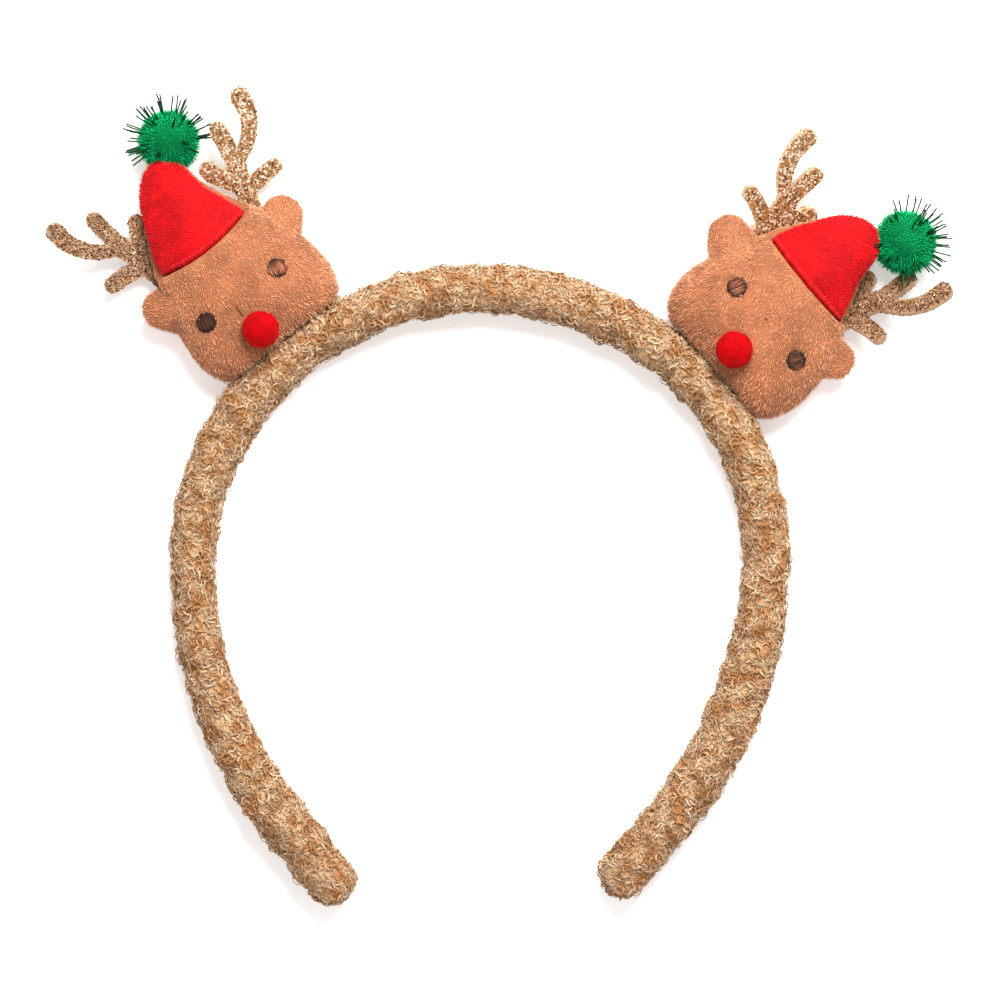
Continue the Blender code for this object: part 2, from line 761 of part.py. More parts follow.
def build():
    for thing in list(bpy.data.objects):
        bpy.data.objects.remove(thing)
    place("band", band_mesh("band"), "band")
    band_seat = place_cutter("band_seat", band_mesh("band_seat", grow=GAP))
    sheets = {}
    for side in (-1, 1):
        sheets[side] = antler_mesh("antler", side, 0.0)
        sheets[side, "slot"] = antler_mesh("antler_slot", side, GAP)
    for head in HEADS:
        frame = head_frame(head)
        face = add_head(head, frame, band_seat)
        body_room = place_cutter(f"{head.name}_body_room", body_mesh(head, grow=GAP), frame)
        hat_room = place_cutter(f"{head.name}_whole_hat_room", hat_mesh(head, grow=GAP), frame)
        eye_room = place_cutter(f"{head.name}_eye_room", body_mesh(head, grow=GAP + EYE_RAISE), frame)
        slots = [
            add_antler(antler, frame, face, sheets) for antler in ANTLERS if antler.head == head.name
        ]
        for ear in EARS:
            if ear.head == head.name:
                add_ear(ear, frame, [body_room, *slots])
        for spot in NOSES:
            if spot.head == head.name:
                add_nose(spot, head, frame, body_room)
        for spot in EYES:
            if spot.head == head.name:
                add_eye(spot, frame, body_room, eye_room)
        for pompom in POMPOMS:
            if pompom.head == head.name:
                add_pompom(pompom, frame, [body_room, hat_room, *slots])
    bpy.context.view_layer.update()


build()
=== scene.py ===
"""Looks of a plush reindeer headband that lies on its back, laid out as a Blender add-on.

Everything is in metres in the packed model's frame: +Z towards the viewer, +Y from the band's ends to its
crown.
"""

import json
import math
import random
from collections import namedtuple

import bmesh
import bpy
from mathutils import Matrix, Vector, noise
from mathutils.bvhtree import BVHTree

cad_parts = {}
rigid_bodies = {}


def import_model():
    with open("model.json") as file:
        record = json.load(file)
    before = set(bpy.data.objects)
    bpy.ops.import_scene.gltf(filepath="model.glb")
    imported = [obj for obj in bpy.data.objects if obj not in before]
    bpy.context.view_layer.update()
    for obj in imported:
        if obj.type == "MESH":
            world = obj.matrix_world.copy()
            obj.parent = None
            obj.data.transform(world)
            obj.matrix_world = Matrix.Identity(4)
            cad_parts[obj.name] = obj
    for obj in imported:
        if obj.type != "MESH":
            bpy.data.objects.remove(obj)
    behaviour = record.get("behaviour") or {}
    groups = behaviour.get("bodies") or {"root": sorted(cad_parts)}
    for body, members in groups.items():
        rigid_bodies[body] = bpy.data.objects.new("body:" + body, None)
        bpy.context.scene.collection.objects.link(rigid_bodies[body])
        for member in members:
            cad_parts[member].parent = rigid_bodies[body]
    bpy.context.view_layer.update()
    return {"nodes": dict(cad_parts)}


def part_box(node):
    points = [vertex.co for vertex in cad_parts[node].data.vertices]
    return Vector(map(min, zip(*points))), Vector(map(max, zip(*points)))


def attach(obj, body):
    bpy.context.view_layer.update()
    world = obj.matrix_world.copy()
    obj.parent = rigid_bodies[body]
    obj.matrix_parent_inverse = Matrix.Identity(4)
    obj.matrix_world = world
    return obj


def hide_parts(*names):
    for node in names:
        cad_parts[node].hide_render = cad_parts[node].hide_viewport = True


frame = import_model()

bl_info = {
    "name": "Reindeer headband",
    "version": (1, 0, 0),
    "blender": (4, 5, 0),
    "location": "3D View > Sidebar > Headband",
    "description": "Dresses a reindeer headband in looped fleece, plush, glitter sheet and thread",
    "category": "Object",
}

MM = 0.001
SEAM_LEVEL = 8.0 * MM  # of the seam round each head above the surface it lies on
EYE_RADIUS = 2.3 * MM
EYE_CLEARING = 2.1 * MM  # how far round the middle of an eye no pile stands
PILE_WIDTH = 0.34 * MM  # of one tuft of the heads' and ears' pile
FLAKE_CELL = 0.42 * MM  # width of the flakes drawn between those that are meshes

# How an ear's root is drawn towards the head's middle, lifted on to the face and widened
EAR_DRAWN_IN = 7.5 * MM
EAR_LIFTED = 7.0 * MM
EAR_WIDER = 0.35

# The cloth simulation that blows up the stuffed pieces
CLOTH_FRAMES = 20
CLOTH_MASS = 0.002
CLOTH_PRESSURE = 4.0

# Tints of painted shade that colour others by being multiplied with them, and two plain ones
CLUMP_SHADE_TINT = "#DCB88E"
SHADED_SHEET_TINT = "#866249"
DARK_RED_THREAD = "#A80A12"
PANEL_UNEVEN = "#FCFCFC"

# The stage: the lamp's place, the point it looks at and its width, the panel's glow and the camera's place
KEY_PLACE = (0.14, 0.42, 0.72)
KEY_TARGET = (0.0, -0.03, 0.0)
KEY_WIDTH = 0.45
PANEL_GLOW = 0.32
CAMERA_ACROSS = 4.8 * MM
CAMERA_ALONG = -50.8 * MM
BAND_FRONT = 8 * MM
SENSOR_WIDTH = 36.0

# Each head's own frame has its origin between the eyes, x across the face and y from chin to hat
Head = namedtuple("Head", "side left_eye right_eye left_at right_at brow hat_centre hat_half hat_sag")
HEADS = (
    Head(
        side="left",
        left_eye="left_eye_outer",
        right_eye="left_eye_inner",
        left_at=(-10.6 * MM, 0.2 * MM),
        right_at=(10.8 * MM, -0.2 * MM),
        brow=15.6 * MM,
        hat_centre=0.6 * MM,
        hat_half=13.1 * MM,
        hat_sag=2.3 * MM,
    ),
    Head(
        side="right",
        left_eye="right_eye_inner",
        right_eye="right_eye_outer",
        left_at=(-11.0 * MM, -0.1 * MM),
        right_at=(11.4 * MM, -0.3 * MM),
        brow=13.9 * MM,
        hat_centre=-1.7 * MM,
        hat_half=13.4 * MM,
        hat_sag=1.0 * MM,
    ),
)

# Pompoms in the head's frame. A tuft of tinsel has degrees round from the right, degrees up and its strips
Pompom = namedtuple("Pompom", "side across up level radius seed")
POMPOMS = (
    Pompom("left", 9.2 * MM, 40.5 * MM, 7.7 * MM, 7.4 * MM, 4),
    Pompom("right", 6.4 * MM, 38.4 * MM, 8.2 * MM, 7.7 * MM, 9),
)
TUFTS = {
    "left": (
        *((96, 5, 6), (124, 15, 5), (146, 5, 4), (168, 10, 4), (55, 15, 6), (28, 10, 5), (-38, 15, 5)),
        *((20, 60, 3), (95, 50, 3), (200, 50, 2), (-12, 20, 5), (8, 35, 3), (75, 30, 4), (-60, 50, 3)),
        (160, 45, 3),
    ),
    "right": (
        *((120, 10, 4), (98, 20, 5), (78, 10, 6), (52, 10, 6), (10, 15, 3), (-45, 20, 4), (150, 5, 3)),
        *((110, 55, 5), (-80, 45, 3), (30, 15, 5), (65, 40, 5), (-15, 30, 3), (-120, 30, 3), (170, 40, 3)),
    ),
}

# The band's loops are four pieces, by the way in which each lies from the middle of the band
PARTS = {"left_crown": (-1, 1), "left_leg": (-1, -1), "right_crown": (1, 1), "right_leg": (1, -1)}
PARTS_MEET = -66.0 * MM

# How far each eye's threads are lightened towards the pale thread colour: a painted glint, brighter on some
# eyes than others
EYE_GLINT = {"left_eye_outer": 0.15, "left_eye_inner": 1.0, "right_eye_inner": 0.65, "right_eye_outer": 0.35}

# How much each antler's side of the sheet is darkened towards the shaded tint: painted shade, for a side
# whose glitter reflects less light
SHEET_SHADE = {"left_outer": 0.75, "left_inner": 0.1, "right_inner": 0.0, "right_outer": 0.85}

# Single dark stitches on the faces, from one place to another in the head's frame
Mark = namedtuple("Mark", "side start end")
MARKS = (
    Mark("left", (-2.6 * MM, -1.4 * MM), (-2.7 * MM, -4.4 * MM)),
    Mark("right", (-1.1 * MM, 0.3 * MM), (-0.5 * MM, 0.5 * MM)),
)


def linear(code):
    """A linear colour from its sRGB hex value."""
    channels = [int(code[start : start + 2], 16) / 255 for start in (1, 3, 5)]
    return [c / 12.92 if c <= 0.04045 else ((c + 0.055) / 1.055) ** 2.4 for c in channels] + [1.0]


def length_setting(name, description, default):
    return bpy.props.FloatProperty(
        name=name, description=description, default=default, min=0.0, precision=5, unit="LENGTH"
    )


def colour_setting(name, description, code):
    return bpy.props.FloatVectorProperty(
        name=name, description=description, default=linear(code), size=4, min=0.0, max=1.0, subtype="COLOR"
    )


class BandLooks(bpy.types.PropertyGroup):
    """Sizes and colours of the band's looped fleece."""

    spacing: length_setting("Loop spacing", "Least distance between two yarn loops", 0.76 * MM)
    loop: length_setting("Loop size", "Width of one yarn loop", 1.5 * MM)
    yarn: length_setting("Yarn", "Thickness of the yarn", 0.40 * MM)
    inset: length_setting("Backing depth", "How far the backing lies under the loops' tops", 0.6 * MM)
    light: colour_setting("Yarn, light", "Colour of the palest loops", "#FCE1BE")
    dark: colour_setting("Yarn, dark", "Colour of the darkest loops", "#D8A876")
    # The backing's darker colour is partly the cloth's own, partly painted shade in the gaps between the
    # loops
    backing: colour_setting("Backing", "Colour of the cloth between the loops", "#B48452")


class PlushLooks(bpy.types.PropertyGroup):
    """Sizes and colours of the heads' and ears' plush."""

    spacing: length_setting("Pile spacing", "Least distance between two tufts of pile", 0.40 * MM)
    pile: length_setting("Pile length", "Length of the pile", 1.0 * MM)
    swell: length_setting("Swell", "Most that the stuffing blows a piece up", 0.7 * MM)
    tip: colour_setting("Pile tips", "Colour of the pile's tips", "#FFCEA6")
    # The darker roots are partly painted shade deep in the pile
    root: colour_setting("Pile roots", "Colour of the pile's roots", "#D68252")


class HatLooks(bpy.types.PropertyGroup):
    """Sizes and colours of the hats' plush and of its stitched edge."""

    spacing: length_setting("Pile spacing", "Least distance between two tufts of pile", 0.38 * MM)
    pile: length_setting("Pile length", "Length of the pile", 0.85 * MM)
    stitch_width: length_setting("Stitch width", "Width of the row of stitches at the edge", 2.0 * MM)
    stitch_pitch: length_setting("Stitch pitch", "Distance from one stitch to the next", 0.42 * MM)
    thread: length_setting("Thread", "Thickness of the sewing thread", 0.32 * MM)
    tip: colour_setting("Pile tips", "Colour of the pile's tips", "#FF303C")
    # The darker roots are partly painted shade deep in the pile
    root: colour_setting("Pile roots", "Colour of the pile's roots", "#EC0410")
    stitch: colour_setting("Stitches", "Colour of the stitched edge", "#E20E16")


class PompomLooks(bpy.types.PropertyGroup):
    """Sizes and colours of the pompoms and their tinsel."""

    spacing: length_setting("Fibre spacing", "Least distance between two tufts of fibre", 0.42 * MM)
    fibre: length_setting("Fibre length", "Length of the fibres that show", 1.1 * MM)
    strip: length_setting("Strip width", "Width of a strip of tinsel", 0.38 * MM)
    reach: length_setting("Strip reach", "How far the strips stand out of the ball", 4.2 * MM)
    tip: colour_setting("Fibre tips", "Colour of the fibres' tips", "#06FA98")
    # The darker roots are partly painted shade deep in the pile
    root: colour_setting("Fibre roots", "Colour of the fibres' roots", "#02854A")
    tinsel: colour_setting("Tinsel", "Colour of the tinsel film", "#0C3F1F")


class FaceLooks(bpy.types.PropertyGroup):
    """Sizes and colours of the noses, eyes and stitches on the faces."""

    fuzz: length_setting("Nose fuzz", "Length of the fibres that stand out of a felted nose", 0.5 * MM)
    thread: length_setting("Eye thread", "Thickness of the embroidery thread", 0.34 * MM)
    pitch: length_setting("Eye stitch pitch", "Distance between two stitches of an eye", 0.27 * MM)
    nose_tip: colour_setting("Nose, light", "Colour of the nose's loose fibres", "#F20C14")
    nose_root: colour_setting("Nose, dark", "Colour of the nose's felt", "#C0020A")
    eye_light: colour_setting("Eye, light", "Colour of the palest eye thread", "#D4825C")
    eye_dark: colour_setting("Eye, dark", "Colour of the darkest eye thread", "#1E0A02")


class AntlerLooks(bpy.types.PropertyGroup):
    """Sizes and colours of the antlers' glitter sheet."""

    spacing: length_setting("Flake spacing", "Least distance between two flakes", 0.42 * MM)
    flake: length_setting("Flake size", "Width of one flake", 0.44 * MM)
    gold: colour_setting("Flakes, gold", "Colour of most flakes", "#AA763F")
    # The palest flakes are painted glints, flakes coloured as if catching the light
    pale: colour_setting("Flakes, pale", "Colour of the palest flakes", "#FFF0DA")
    brown: colour_setting("Flakes, brown", "Colour of the darkest flakes", "#5C3418")
    sheet: colour_setting("Sheet", "Colour of the sheet at its cut edges", "#C9A176")


class StageLooks(bpy.types.PropertyGroup):
    """The floor, the light and the camera."""

    floor: colour_setting("Floor", "Colour of the floor", "#FFFFFF")
    sky: bpy.props.FloatProperty(name="Sky", description="Strength of the light from all round", default=0.7)
    key: bpy.props.FloatProperty(
        name="Key light", description="Power of the large lamp above the crown", default=11.0, unit="POWER"
    )
    distance: length_setting("Camera distance", "From the camera to the band's front", 1.2)
    width: length_setting("Picture width", "Width of what the camera sees at the band", 240.0 * MM)


LOOKS = {
    "headband_band": BandLooks,
    "headband_plush": PlushLooks,
    "headband_hat": HatLooks,
    "headband_pompom": PompomLooks,
    "headband_face": FaceLooks,
    "headband_antler": AntlerLooks,
    "headband_stage": StageLooks,
}


# Nodes and materials

# Settings of the nodes that mix two colours
MIXED = {"data_type": "RGBA"}
MULTIPLIED = {"data_type": "RGBA", "blend_type": "MULTIPLY"}


def node(tree, kind, settings, inputs):
    """Adds a node with its settings. Its inputs, in order or by their keys, are sockets or values."""
    made = tree.nodes.new(kind)
    for name, value in settings.items():
        setattr(made, name, value)
    for key, value in inputs.items() if isinstance(inputs, dict) else enumerate(inputs):
        if isinstance(value, bpy.types.NodeSocket):
            tree.links.new(value, made.inputs[key])
        else:
            made.inputs[key].default_value = value
    return made


def new_material(name):
    """An empty material, its tree and its shader."""
    made = bpy.data.materials.new(name)
    made.use_nodes = True
    return made, made.node_tree, made.node_tree.nodes["Principled BSDF"]


def shaded(tree, colour, value):
    """A colour made darker or lighter by a number."""
    grey = node(tree, "ShaderNodeCombineColor", {}, (value, value, value)).outputs[0]
    return node(tree, "ShaderNodeMix", MULTIPLIED, {0: 1.0, 6: colour, 7: grey}).outputs[2]


def pile_material(name, root, tip, roughness, gloss, patch, spread):
    """Fibres from dark roots to pale tips, uneven from tuft to tuft and in patches where the pile turns. The
    darker roots, and the surface under the tufts at its darkest, are partly painted shade deep in the pile;
    the patches are painted sheen and shade.
    """
    made, tree, shader = new_material(name)
    place = node(tree, "ShaderNodeTexCoord", {}, ()).outputs["Object"]
    along = node(tree, "ShaderNodeAttribute", {"attribute_name": "tip"}, ()).outputs["Fac"]
    fibre = node(tree, "ShaderNodeMix", MIXED, {0: along, 6: list(root), 7: list(tip)}).outputs[2]
    # The surface under the tufts has no tip or shade of its own, so it takes the root colour at its darkest:
    # painted shade between the tufts
    own = node(tree, "ShaderNodeAttribute", {"attribute_name": "shade"}, ()).outputs["Fac"]
    single = node(tree, "ShaderNodeMapRange", {}, (own, 0.0, 1.0, 1 - spread, 1 + spread)).outputs[0]
    # Patches some millimetres across make the pile lighter or darker: painted sheen and painted shade, as
    # pile lying another way catches the light differently
    patches = node(tree, "ShaderNodeTexNoise", {}, {"Vector": place, "Scale": 1 / patch}).outputs["Fac"]
    turned = node(tree, "ShaderNodeMapRange", {}, (patches, 0.35, 0.65, 0.84, 1.12)).outputs[0]
    value = node(tree, "ShaderNodeMath", {"operation": "MULTIPLY"}, (single, turned)).outputs[0]
    tree.links.new(shaded(tree, fibre, value), shader.inputs["Base Color"])
    shader.inputs["Roughness"].default_value = roughness
    shader.inputs["Specular IOR Level"].default_value = gloss
    shader.inputs["Sheen Weight"].default_value = gloss
    shader.inputs["Sheen Roughness"].default_value = 0.4
    shader.inputs["Sheen Tint"].default_value = list(tip)
    fine = node(tree, "ShaderNodeTexNoise", {}, {"Vector": place, "Scale": 1 / (0.35 * MM)}).outputs["Fac"]
    bump = node(tree, "ShaderNodeBump", {}, {"Height": fine, "Distance": 0.12 * MM, "Strength": 1.0})
    tree.links.new(bump.outputs["Normal"], shader.inputs["Normal"])
    return made


def fleece_material(looks, name, lines_of):
    """Polyester loop fleece, slightly shiny. lines_of makes the strands or curls too fine to be meshes; their
    lines are painted lighter and darker in the colour, as painted highlights on the strands and painted shade
    between them.
    """
    made, tree, shader = new_material(name)
    place = node(tree, "ShaderNodeTexCoord", {}, ()).outputs["Object"]
    wave = lines_of(tree, place)
    # The lines lighten the yarn's colour: painted highlights on the strands and painted shade between them
    strands = node(tree, "ShaderNodeMapRange", {}, (wave, -1.0, 1.0, 0.0, 0.5)).outputs[0]
    loop = node(tree, "ShaderNodeAttribute", {"attribute_name": "shade"}, ()).outputs["Fac"]
    own = node(tree, "ShaderNodeMapRange", {}, (loop, 0.0, 1.0, 0.0, 0.5)).outputs[0]
    paler = node(tree, "ShaderNodeMath", {"operation": "ADD"}, (own, strands)).outputs[0]
    dark, light = list(looks.dark), list(looks.light)
    yarn = node(tree, "ShaderNodeMix", MIXED, {0: paler, 6: dark, 7: light}).outputs[2]
    # Low on the loops and on the backing the colour goes towards the darker backing colour: partly the
    # cloth's own colour, partly painted shade deep among the loops
    raised = node(tree, "ShaderNodeAttribute", {"attribute_name": "tip"}, ()).outputs["Fac"]
    colour = node(tree, "ShaderNodeMix", MIXED, {0: raised, 6: list(looks.backing), 7: yarn}).outputs[2]
    # Patches a few millimetres across are darker and browner: painted shade, as of sunken clumps of curls
    # lying in shadow
    patches = node(tree, "ShaderNodeTexNoise", {}, {"Vector": place, "Scale": 1 / (3.5 * MM)}).outputs["Fac"]
    shaded_clumps = node(tree, "ShaderNodeMapRange", {}, (patches, 0.40, 0.56, 1.0, 0.0)).outputs[0]
    tinted = {0: 1.0, 6: colour, 7: linear(CLUMP_SHADE_TINT)}
    darker = node(tree, "ShaderNodeMix", MULTIPLIED, tinted).outputs[2]
    uneven = node(tree, "ShaderNodeMix", MIXED, {0: shaded_clumps, 6: colour, 7: darker}).outputs[2]
    tree.links.new(uneven, shader.inputs["Base Color"])
    shader.inputs["Roughness"].default_value = 0.45
    shader.inputs["Specular IOR Level"].default_value = 0.4
    shader.inputs["Sheen Weight"].default_value = 0.3
    shader.inputs["Sheen Roughness"].default_value = 0.4
    shader.inputs["Sheen Tint"].default_value = light
    bump = node(tree, "ShaderNodeBump", {}, {"Height": wave, "Distance": 0.10 * MM, "Strength": 1.0})
    tree.links.new(bump.outputs["Normal"], shader.inputs["Normal"])
    return made


def strand_lines(tree, place):
    """Wavy lines along the yarn of a loop, as of twisted strands."""
    lumps = node(tree, "ShaderNodeTexNoise", {}, {"Vector": place, "Scale": 1 / (0.7 * MM)}).outputs["Fac"]
    wobble = node(tree, "ShaderNodeMapRange", {}, (lumps, 0.0, 1.0, 0.0, 5.0)).outputs[0]
    side = node(tree, "ShaderNodeAttribute", {"attribute_name": "strand"}, ()).outputs["Fac"]
    across = node(tree, "ShaderNodeMapRange", {}, (side, 0.0, 2.0, 0.0, 6.0)).outputs[0]
    bent = node(tree, "ShaderNodeMath", {"operation": "ADD"}, (across, wobble)).outputs[0]
    return node(tree, "ShaderNodeMath", {"operation": "SINE"}, (bent,)).outputs[0]


def curled_lines(tree, place):
    """Tight curls deep in the fleece: fine lines that ring the lumps of a noise."""
    pattern = {"Vector": place, "Scale": 1 / (2.2 * MM), "Detail": 1.0}
    lumps = node(tree, "ShaderNodeTexNoise", {}, pattern).outputs["Fac"]
    rings = node(tree, "ShaderNodeMath", {"operation": "MULTIPLY"}, (lumps, 48.0)).outputs[0]
    return node(tree, "ShaderNodeMath", {"operation": "SINE"}, (rings,)).outputs[0]


def thread_material(name, dark, light, roughness):
    """Rayon embroidery thread: fine twisted fibres with a silky shine."""
    made, tree, shader = new_material(name)
    place = node(tree, "ShaderNodeTexCoord", {}, ()).outputs["Object"]
    own = node(tree, "ShaderNodeAttribute", {"attribute_name": "shade"}, ()).outputs["Fac"]
    colour = node(tree, "ShaderNodeMix", MIXED, {0: own, 6: list(dark), 7: list(light)}).outputs[2]
    tree.links.new(colour, shader.inputs["Base Color"])
    shader.inputs["Roughness"].default_value = roughness
    shader.inputs["Specular IOR Level"].default_value = 0.3
    twist = node(tree, "ShaderNodeTexNoise", {}, {"Vector": place, "Scale": 1 / (0.12 * MM)}).outputs["Fac"]
    bump = node(tree, "ShaderNodeBump", {}, {"Height": twist, "Distance": 0.04 * MM, "Strength": 1.0})
    tree.links.new(bump.outputs["Normal"], shader.inputs["Normal"])
    return made


def glitter_material(looks):
    """Glitter sheet: metallised film flakes, each tilted its own way, glued to a felt-backed sheet."""
    made, tree, shader = new_material("metallised glitter sheet")
    place = node(tree, "ShaderNodeTexCoord", {}, ()).outputs["Object"]
    tip, shade, glitter, tone = (
        node(tree, "ShaderNodeAttribute", {"attribute_name": name}, ()).outputs["Fac"]
        for name in ("tip", "shade", "glitter", "tone")
    )
    cells = node(tree, "ShaderNodeTexVoronoi", {}, {"Vector": place, "Scale": 1 / FLAKE_CELL})
    flat = node(tree, "ShaderNodeSeparateColor", {}, {0: cells.outputs["Color"]})
    which = node(tree, "ShaderNodeMix", {"data_type": "FLOAT"}, {0: tip, 2: flat.outputs[0], 3: shade})
    ramp = node(tree, "ShaderNodeValToRGB", {}, (which.outputs[0],))
    ramp.color_ramp.interpolation = "CONSTANT"
    ramp.color_ramp.elements[0].position = 0.0
    ramp.color_ramp.elements[0].color = list(looks.brown)
    ramp.color_ramp.elements[1].position = 0.24
    ramp.color_ramp.elements[1].color = list(looks.gold)
    # Flakes at the top of the ramp take the pale colour: painted glints
    pale = ramp.color_ramp.elements.new(0.76)
    pale.color = list(looks.pale)
    # tone darkens a whole side of the sheet towards the shaded tint: painted shade
    tinted = {0: tone, 6: ramp.outputs[0], 7: linear(SHADED_SHEET_TINT)}
    toned = node(tree, "ShaderNodeMix", MULTIPLIED, tinted).outputs[2]
    colour = node(tree, "ShaderNodeMix", MIXED, {0: glitter, 6: list(looks.sheet), 7: toned}).outputs[2]
    tree.links.new(colour, shader.inputs["Base Color"])
    metal = node(tree, "ShaderNodeMapRange", {}, (glitter, 0.0, 1.0, 0.0, 0.6)).outputs[0]
    tree.links.new(metal, shader.inputs["Metallic"])
    rough = node(tree, "ShaderNodeMapRange", {}, (glitter, 0.0, 1.0, 0.85, 0.30)).outputs[0]
    tree.links.new(rough, shader.inputs["Roughness"])
    tilts = {"Height": cells.outputs["Distance"], "Distance": 0.10 * MM, "Strength": 1.0}
    bump = node(tree, "ShaderNodeBump", {}, tilts)
    tree.links.new(bump.outputs["Normal"], shader.inputs["Normal"])
    return made


def tinsel_material(looks):
    """Metallised polyester film, cut in strips: dark, smooth and shiny."""
    made, tree, shader = new_material("metallised polyester film")
    own = node(tree, "ShaderNodeAttribute", {"attribute_name": "shade"}, ()).outputs["Fac"]
    value = node(tree, "ShaderNodeMapRange", {}, (own, 0.0, 1.0, 0.5, 1.6)).outputs[0]
    tree.links.new(shaded(tree, list(looks.tinsel), value), shader.inputs["Base Color"])
    shader.inputs["Metallic"].default_value = 0.6
    shader.inputs["Roughness"].default_value = 0.3
    return made


# Geometry node trees


def new_tree(name, inputs):
    """A tree with named inputs, its input node and its output node."""
    tree = bpy.data.node_groups.new(name, "GeometryNodeTree")
    tree.interface.new_socket(name="Geometry", in_out="INPUT", socket_type="NodeSocketGeometry")
    for label, kind in inputs:
        tree.interface.new_socket(name=label, in_out="INPUT", socket_type=f"NodeSocket{kind}")
    tree.interface.new_socket(name="Geometry", in_out="OUTPUT", socket_type="NodeSocketGeometry")
    return tree, tree.nodes.new("NodeGroupInput").outputs, tree.nodes.new("NodeGroupOutput").inputs


def close_tree(tree, last, given, result):
    """Gives the last node's geometry its material and hands it to the output."""
    inputs = {"Geometry": last.outputs[0], "Material": given["Material"]}
    done = node(tree, "GeometryNodeSetMaterial", {}, inputs)
    tree.links.new(done.outputs[0], result["Geometry"])


def pile_tree():
    """Sets small shapes on a surface, standing or combed over, and keeps the surface under them or not."""
    tree, given, result = new_tree(
        "Pile",
        (
            ("Shapes", "Collection"),
            ("Kinds", "Int"),
            ("Spacing", "Float"),
            ("Seed", "Int"),
            ("Combed", "Vector"),
            ("Swirl", "Float"),
            ("Swirl Size", "Float"),
            ("Smallest", "Float"),
            ("Largest", "Float"),
            ("Keep Surface", "Bool"),
            ("Material", "Material"),
        ),
    )

    area = node(tree, "ShaderNodeMath", {"operation": "POWER"}, (given["Spacing"], 2.0)).outputs[0]
    density = node(tree, "ShaderNodeMath", {"operation": "DIVIDE"}, (2.5, area)).outputs[0]
    where = node(tree, "GeometryNodeInputNamedAttribute", {"data_type": "FLOAT"}, {"Name": "nap"}).outputs[0]
    points = node(
        tree,
        "GeometryNodeDistributePointsOnFaces",
        {"distribute_method": "POISSON"},
        {
            "Mesh": given["Geometry"],
            "Distance Min": given["Spacing"],
            "Density Max": density,
            "Density Factor": where,
            "Seed": given["Seed"],
        },
    )
    scale = node(tree, "ShaderNodeMath", {"operation": "DIVIDE"}, (1.0, given["Swirl Size"])).outputs[0]
    waves = node(tree, "ShaderNodeTexNoise", {}, {"Scale": scale, "Detail": 1.0}).outputs["Color"]
    middle = (0.5, 0.5, 0.5)
    centred = node(tree, "ShaderNodeVectorMath", {"operation": "SUBTRACT"}, (waves, middle)).outputs[0]
    swirl = {0: centred, "Scale": given["Swirl"]}
    swirled = node(tree, "ShaderNodeVectorMath", {"operation": "SCALE"}, swirl).outputs[0]
    combed = node(tree, "ShaderNodeVectorMath", {"operation": "ADD"}, (swirled, given["Combed"])).outputs[0]
    upright = points.outputs["Normal"]
    way = node(tree, "ShaderNodeVectorMath", {"operation": "ADD"}, (upright, combed)).outputs[0]
    stood = node(tree, "FunctionNodeAlignRotationToVector", {"axis": "Z"}, {"Vector": way})
    ranges = ((0.0, 2 * math.pi, 3), (given["Smallest"], given["Largest"], 7), (0.0, 1.0, 11))
    angle, size, shade = (
        node(tree, "FunctionNodeRandomValue", {"data_type": "FLOAT"}, {2: low, 3: high, "Seed": seed})
        for low, high, seed in ranges
    )
    euler = node(tree, "ShaderNodeCombineXYZ", {}, {"Z": angle.outputs[1]}).outputs[0]
    spin = node(tree, "FunctionNodeEulerToRotation", {}, (euler,)).outputs[0]
    turned = node(
        tree,
        "FunctionNodeRotateRotation",
        {"rotation_space": "LOCAL"},
        {"Rotation": stood.outputs[0], "Rotate By": spin},
    )
    shapes = node(
        tree,
        "GeometryNodeCollectionInfo",
        {},
        {"Collection": given["Shapes"], "Separate Children": True, "Reset Children": True},
    )
    last = node(tree, "ShaderNodeMath", {"operation": "SUBTRACT"}, (given["Kinds"], 1.0)).outputs[0]
    kind = node(tree, "FunctionNodeRandomValue", {"data_type": "INT"}, {4: 0, 5: last, "Seed": 5}).outputs[2]
    items = node(
        tree,
        "GeometryNodeInstanceOnPoints",
        {},
        {
            "Points": points.outputs["Points"],
            "Instance": shapes.outputs[0],
            "Pick Instance": True,
            "Instance Index": kind,
            "Rotation": turned.outputs[0],
            "Scale": size.outputs[1],
        },
    )
    marked = node(
        tree,
        "GeometryNodeStoreNamedAttribute",
        {"data_type": "FLOAT", "domain": "INSTANCE"},
        {"Geometry": items.outputs[0], "Name": "shade", "Value": shade.outputs[1]},
    )
    real = node(tree, "GeometryNodeRealizeInstances", {}, {0: marked.outputs[0]})
    joined = tree.nodes.new("GeometryNodeJoinGeometry")
    tree.links.new(real.outputs[0], joined.inputs[0])
    tree.links.new(given["Geometry"], joined.inputs[0])
    chosen = node(
        tree,
        "GeometryNodeSwitch",
        {"input_type": "GEOMETRY"},
        {"Switch": given["Keep Surface"], "False": real.outputs[0], "True": joined.outputs[0]},
    )
    close_tree(tree, chosen, given, result)
    return tree


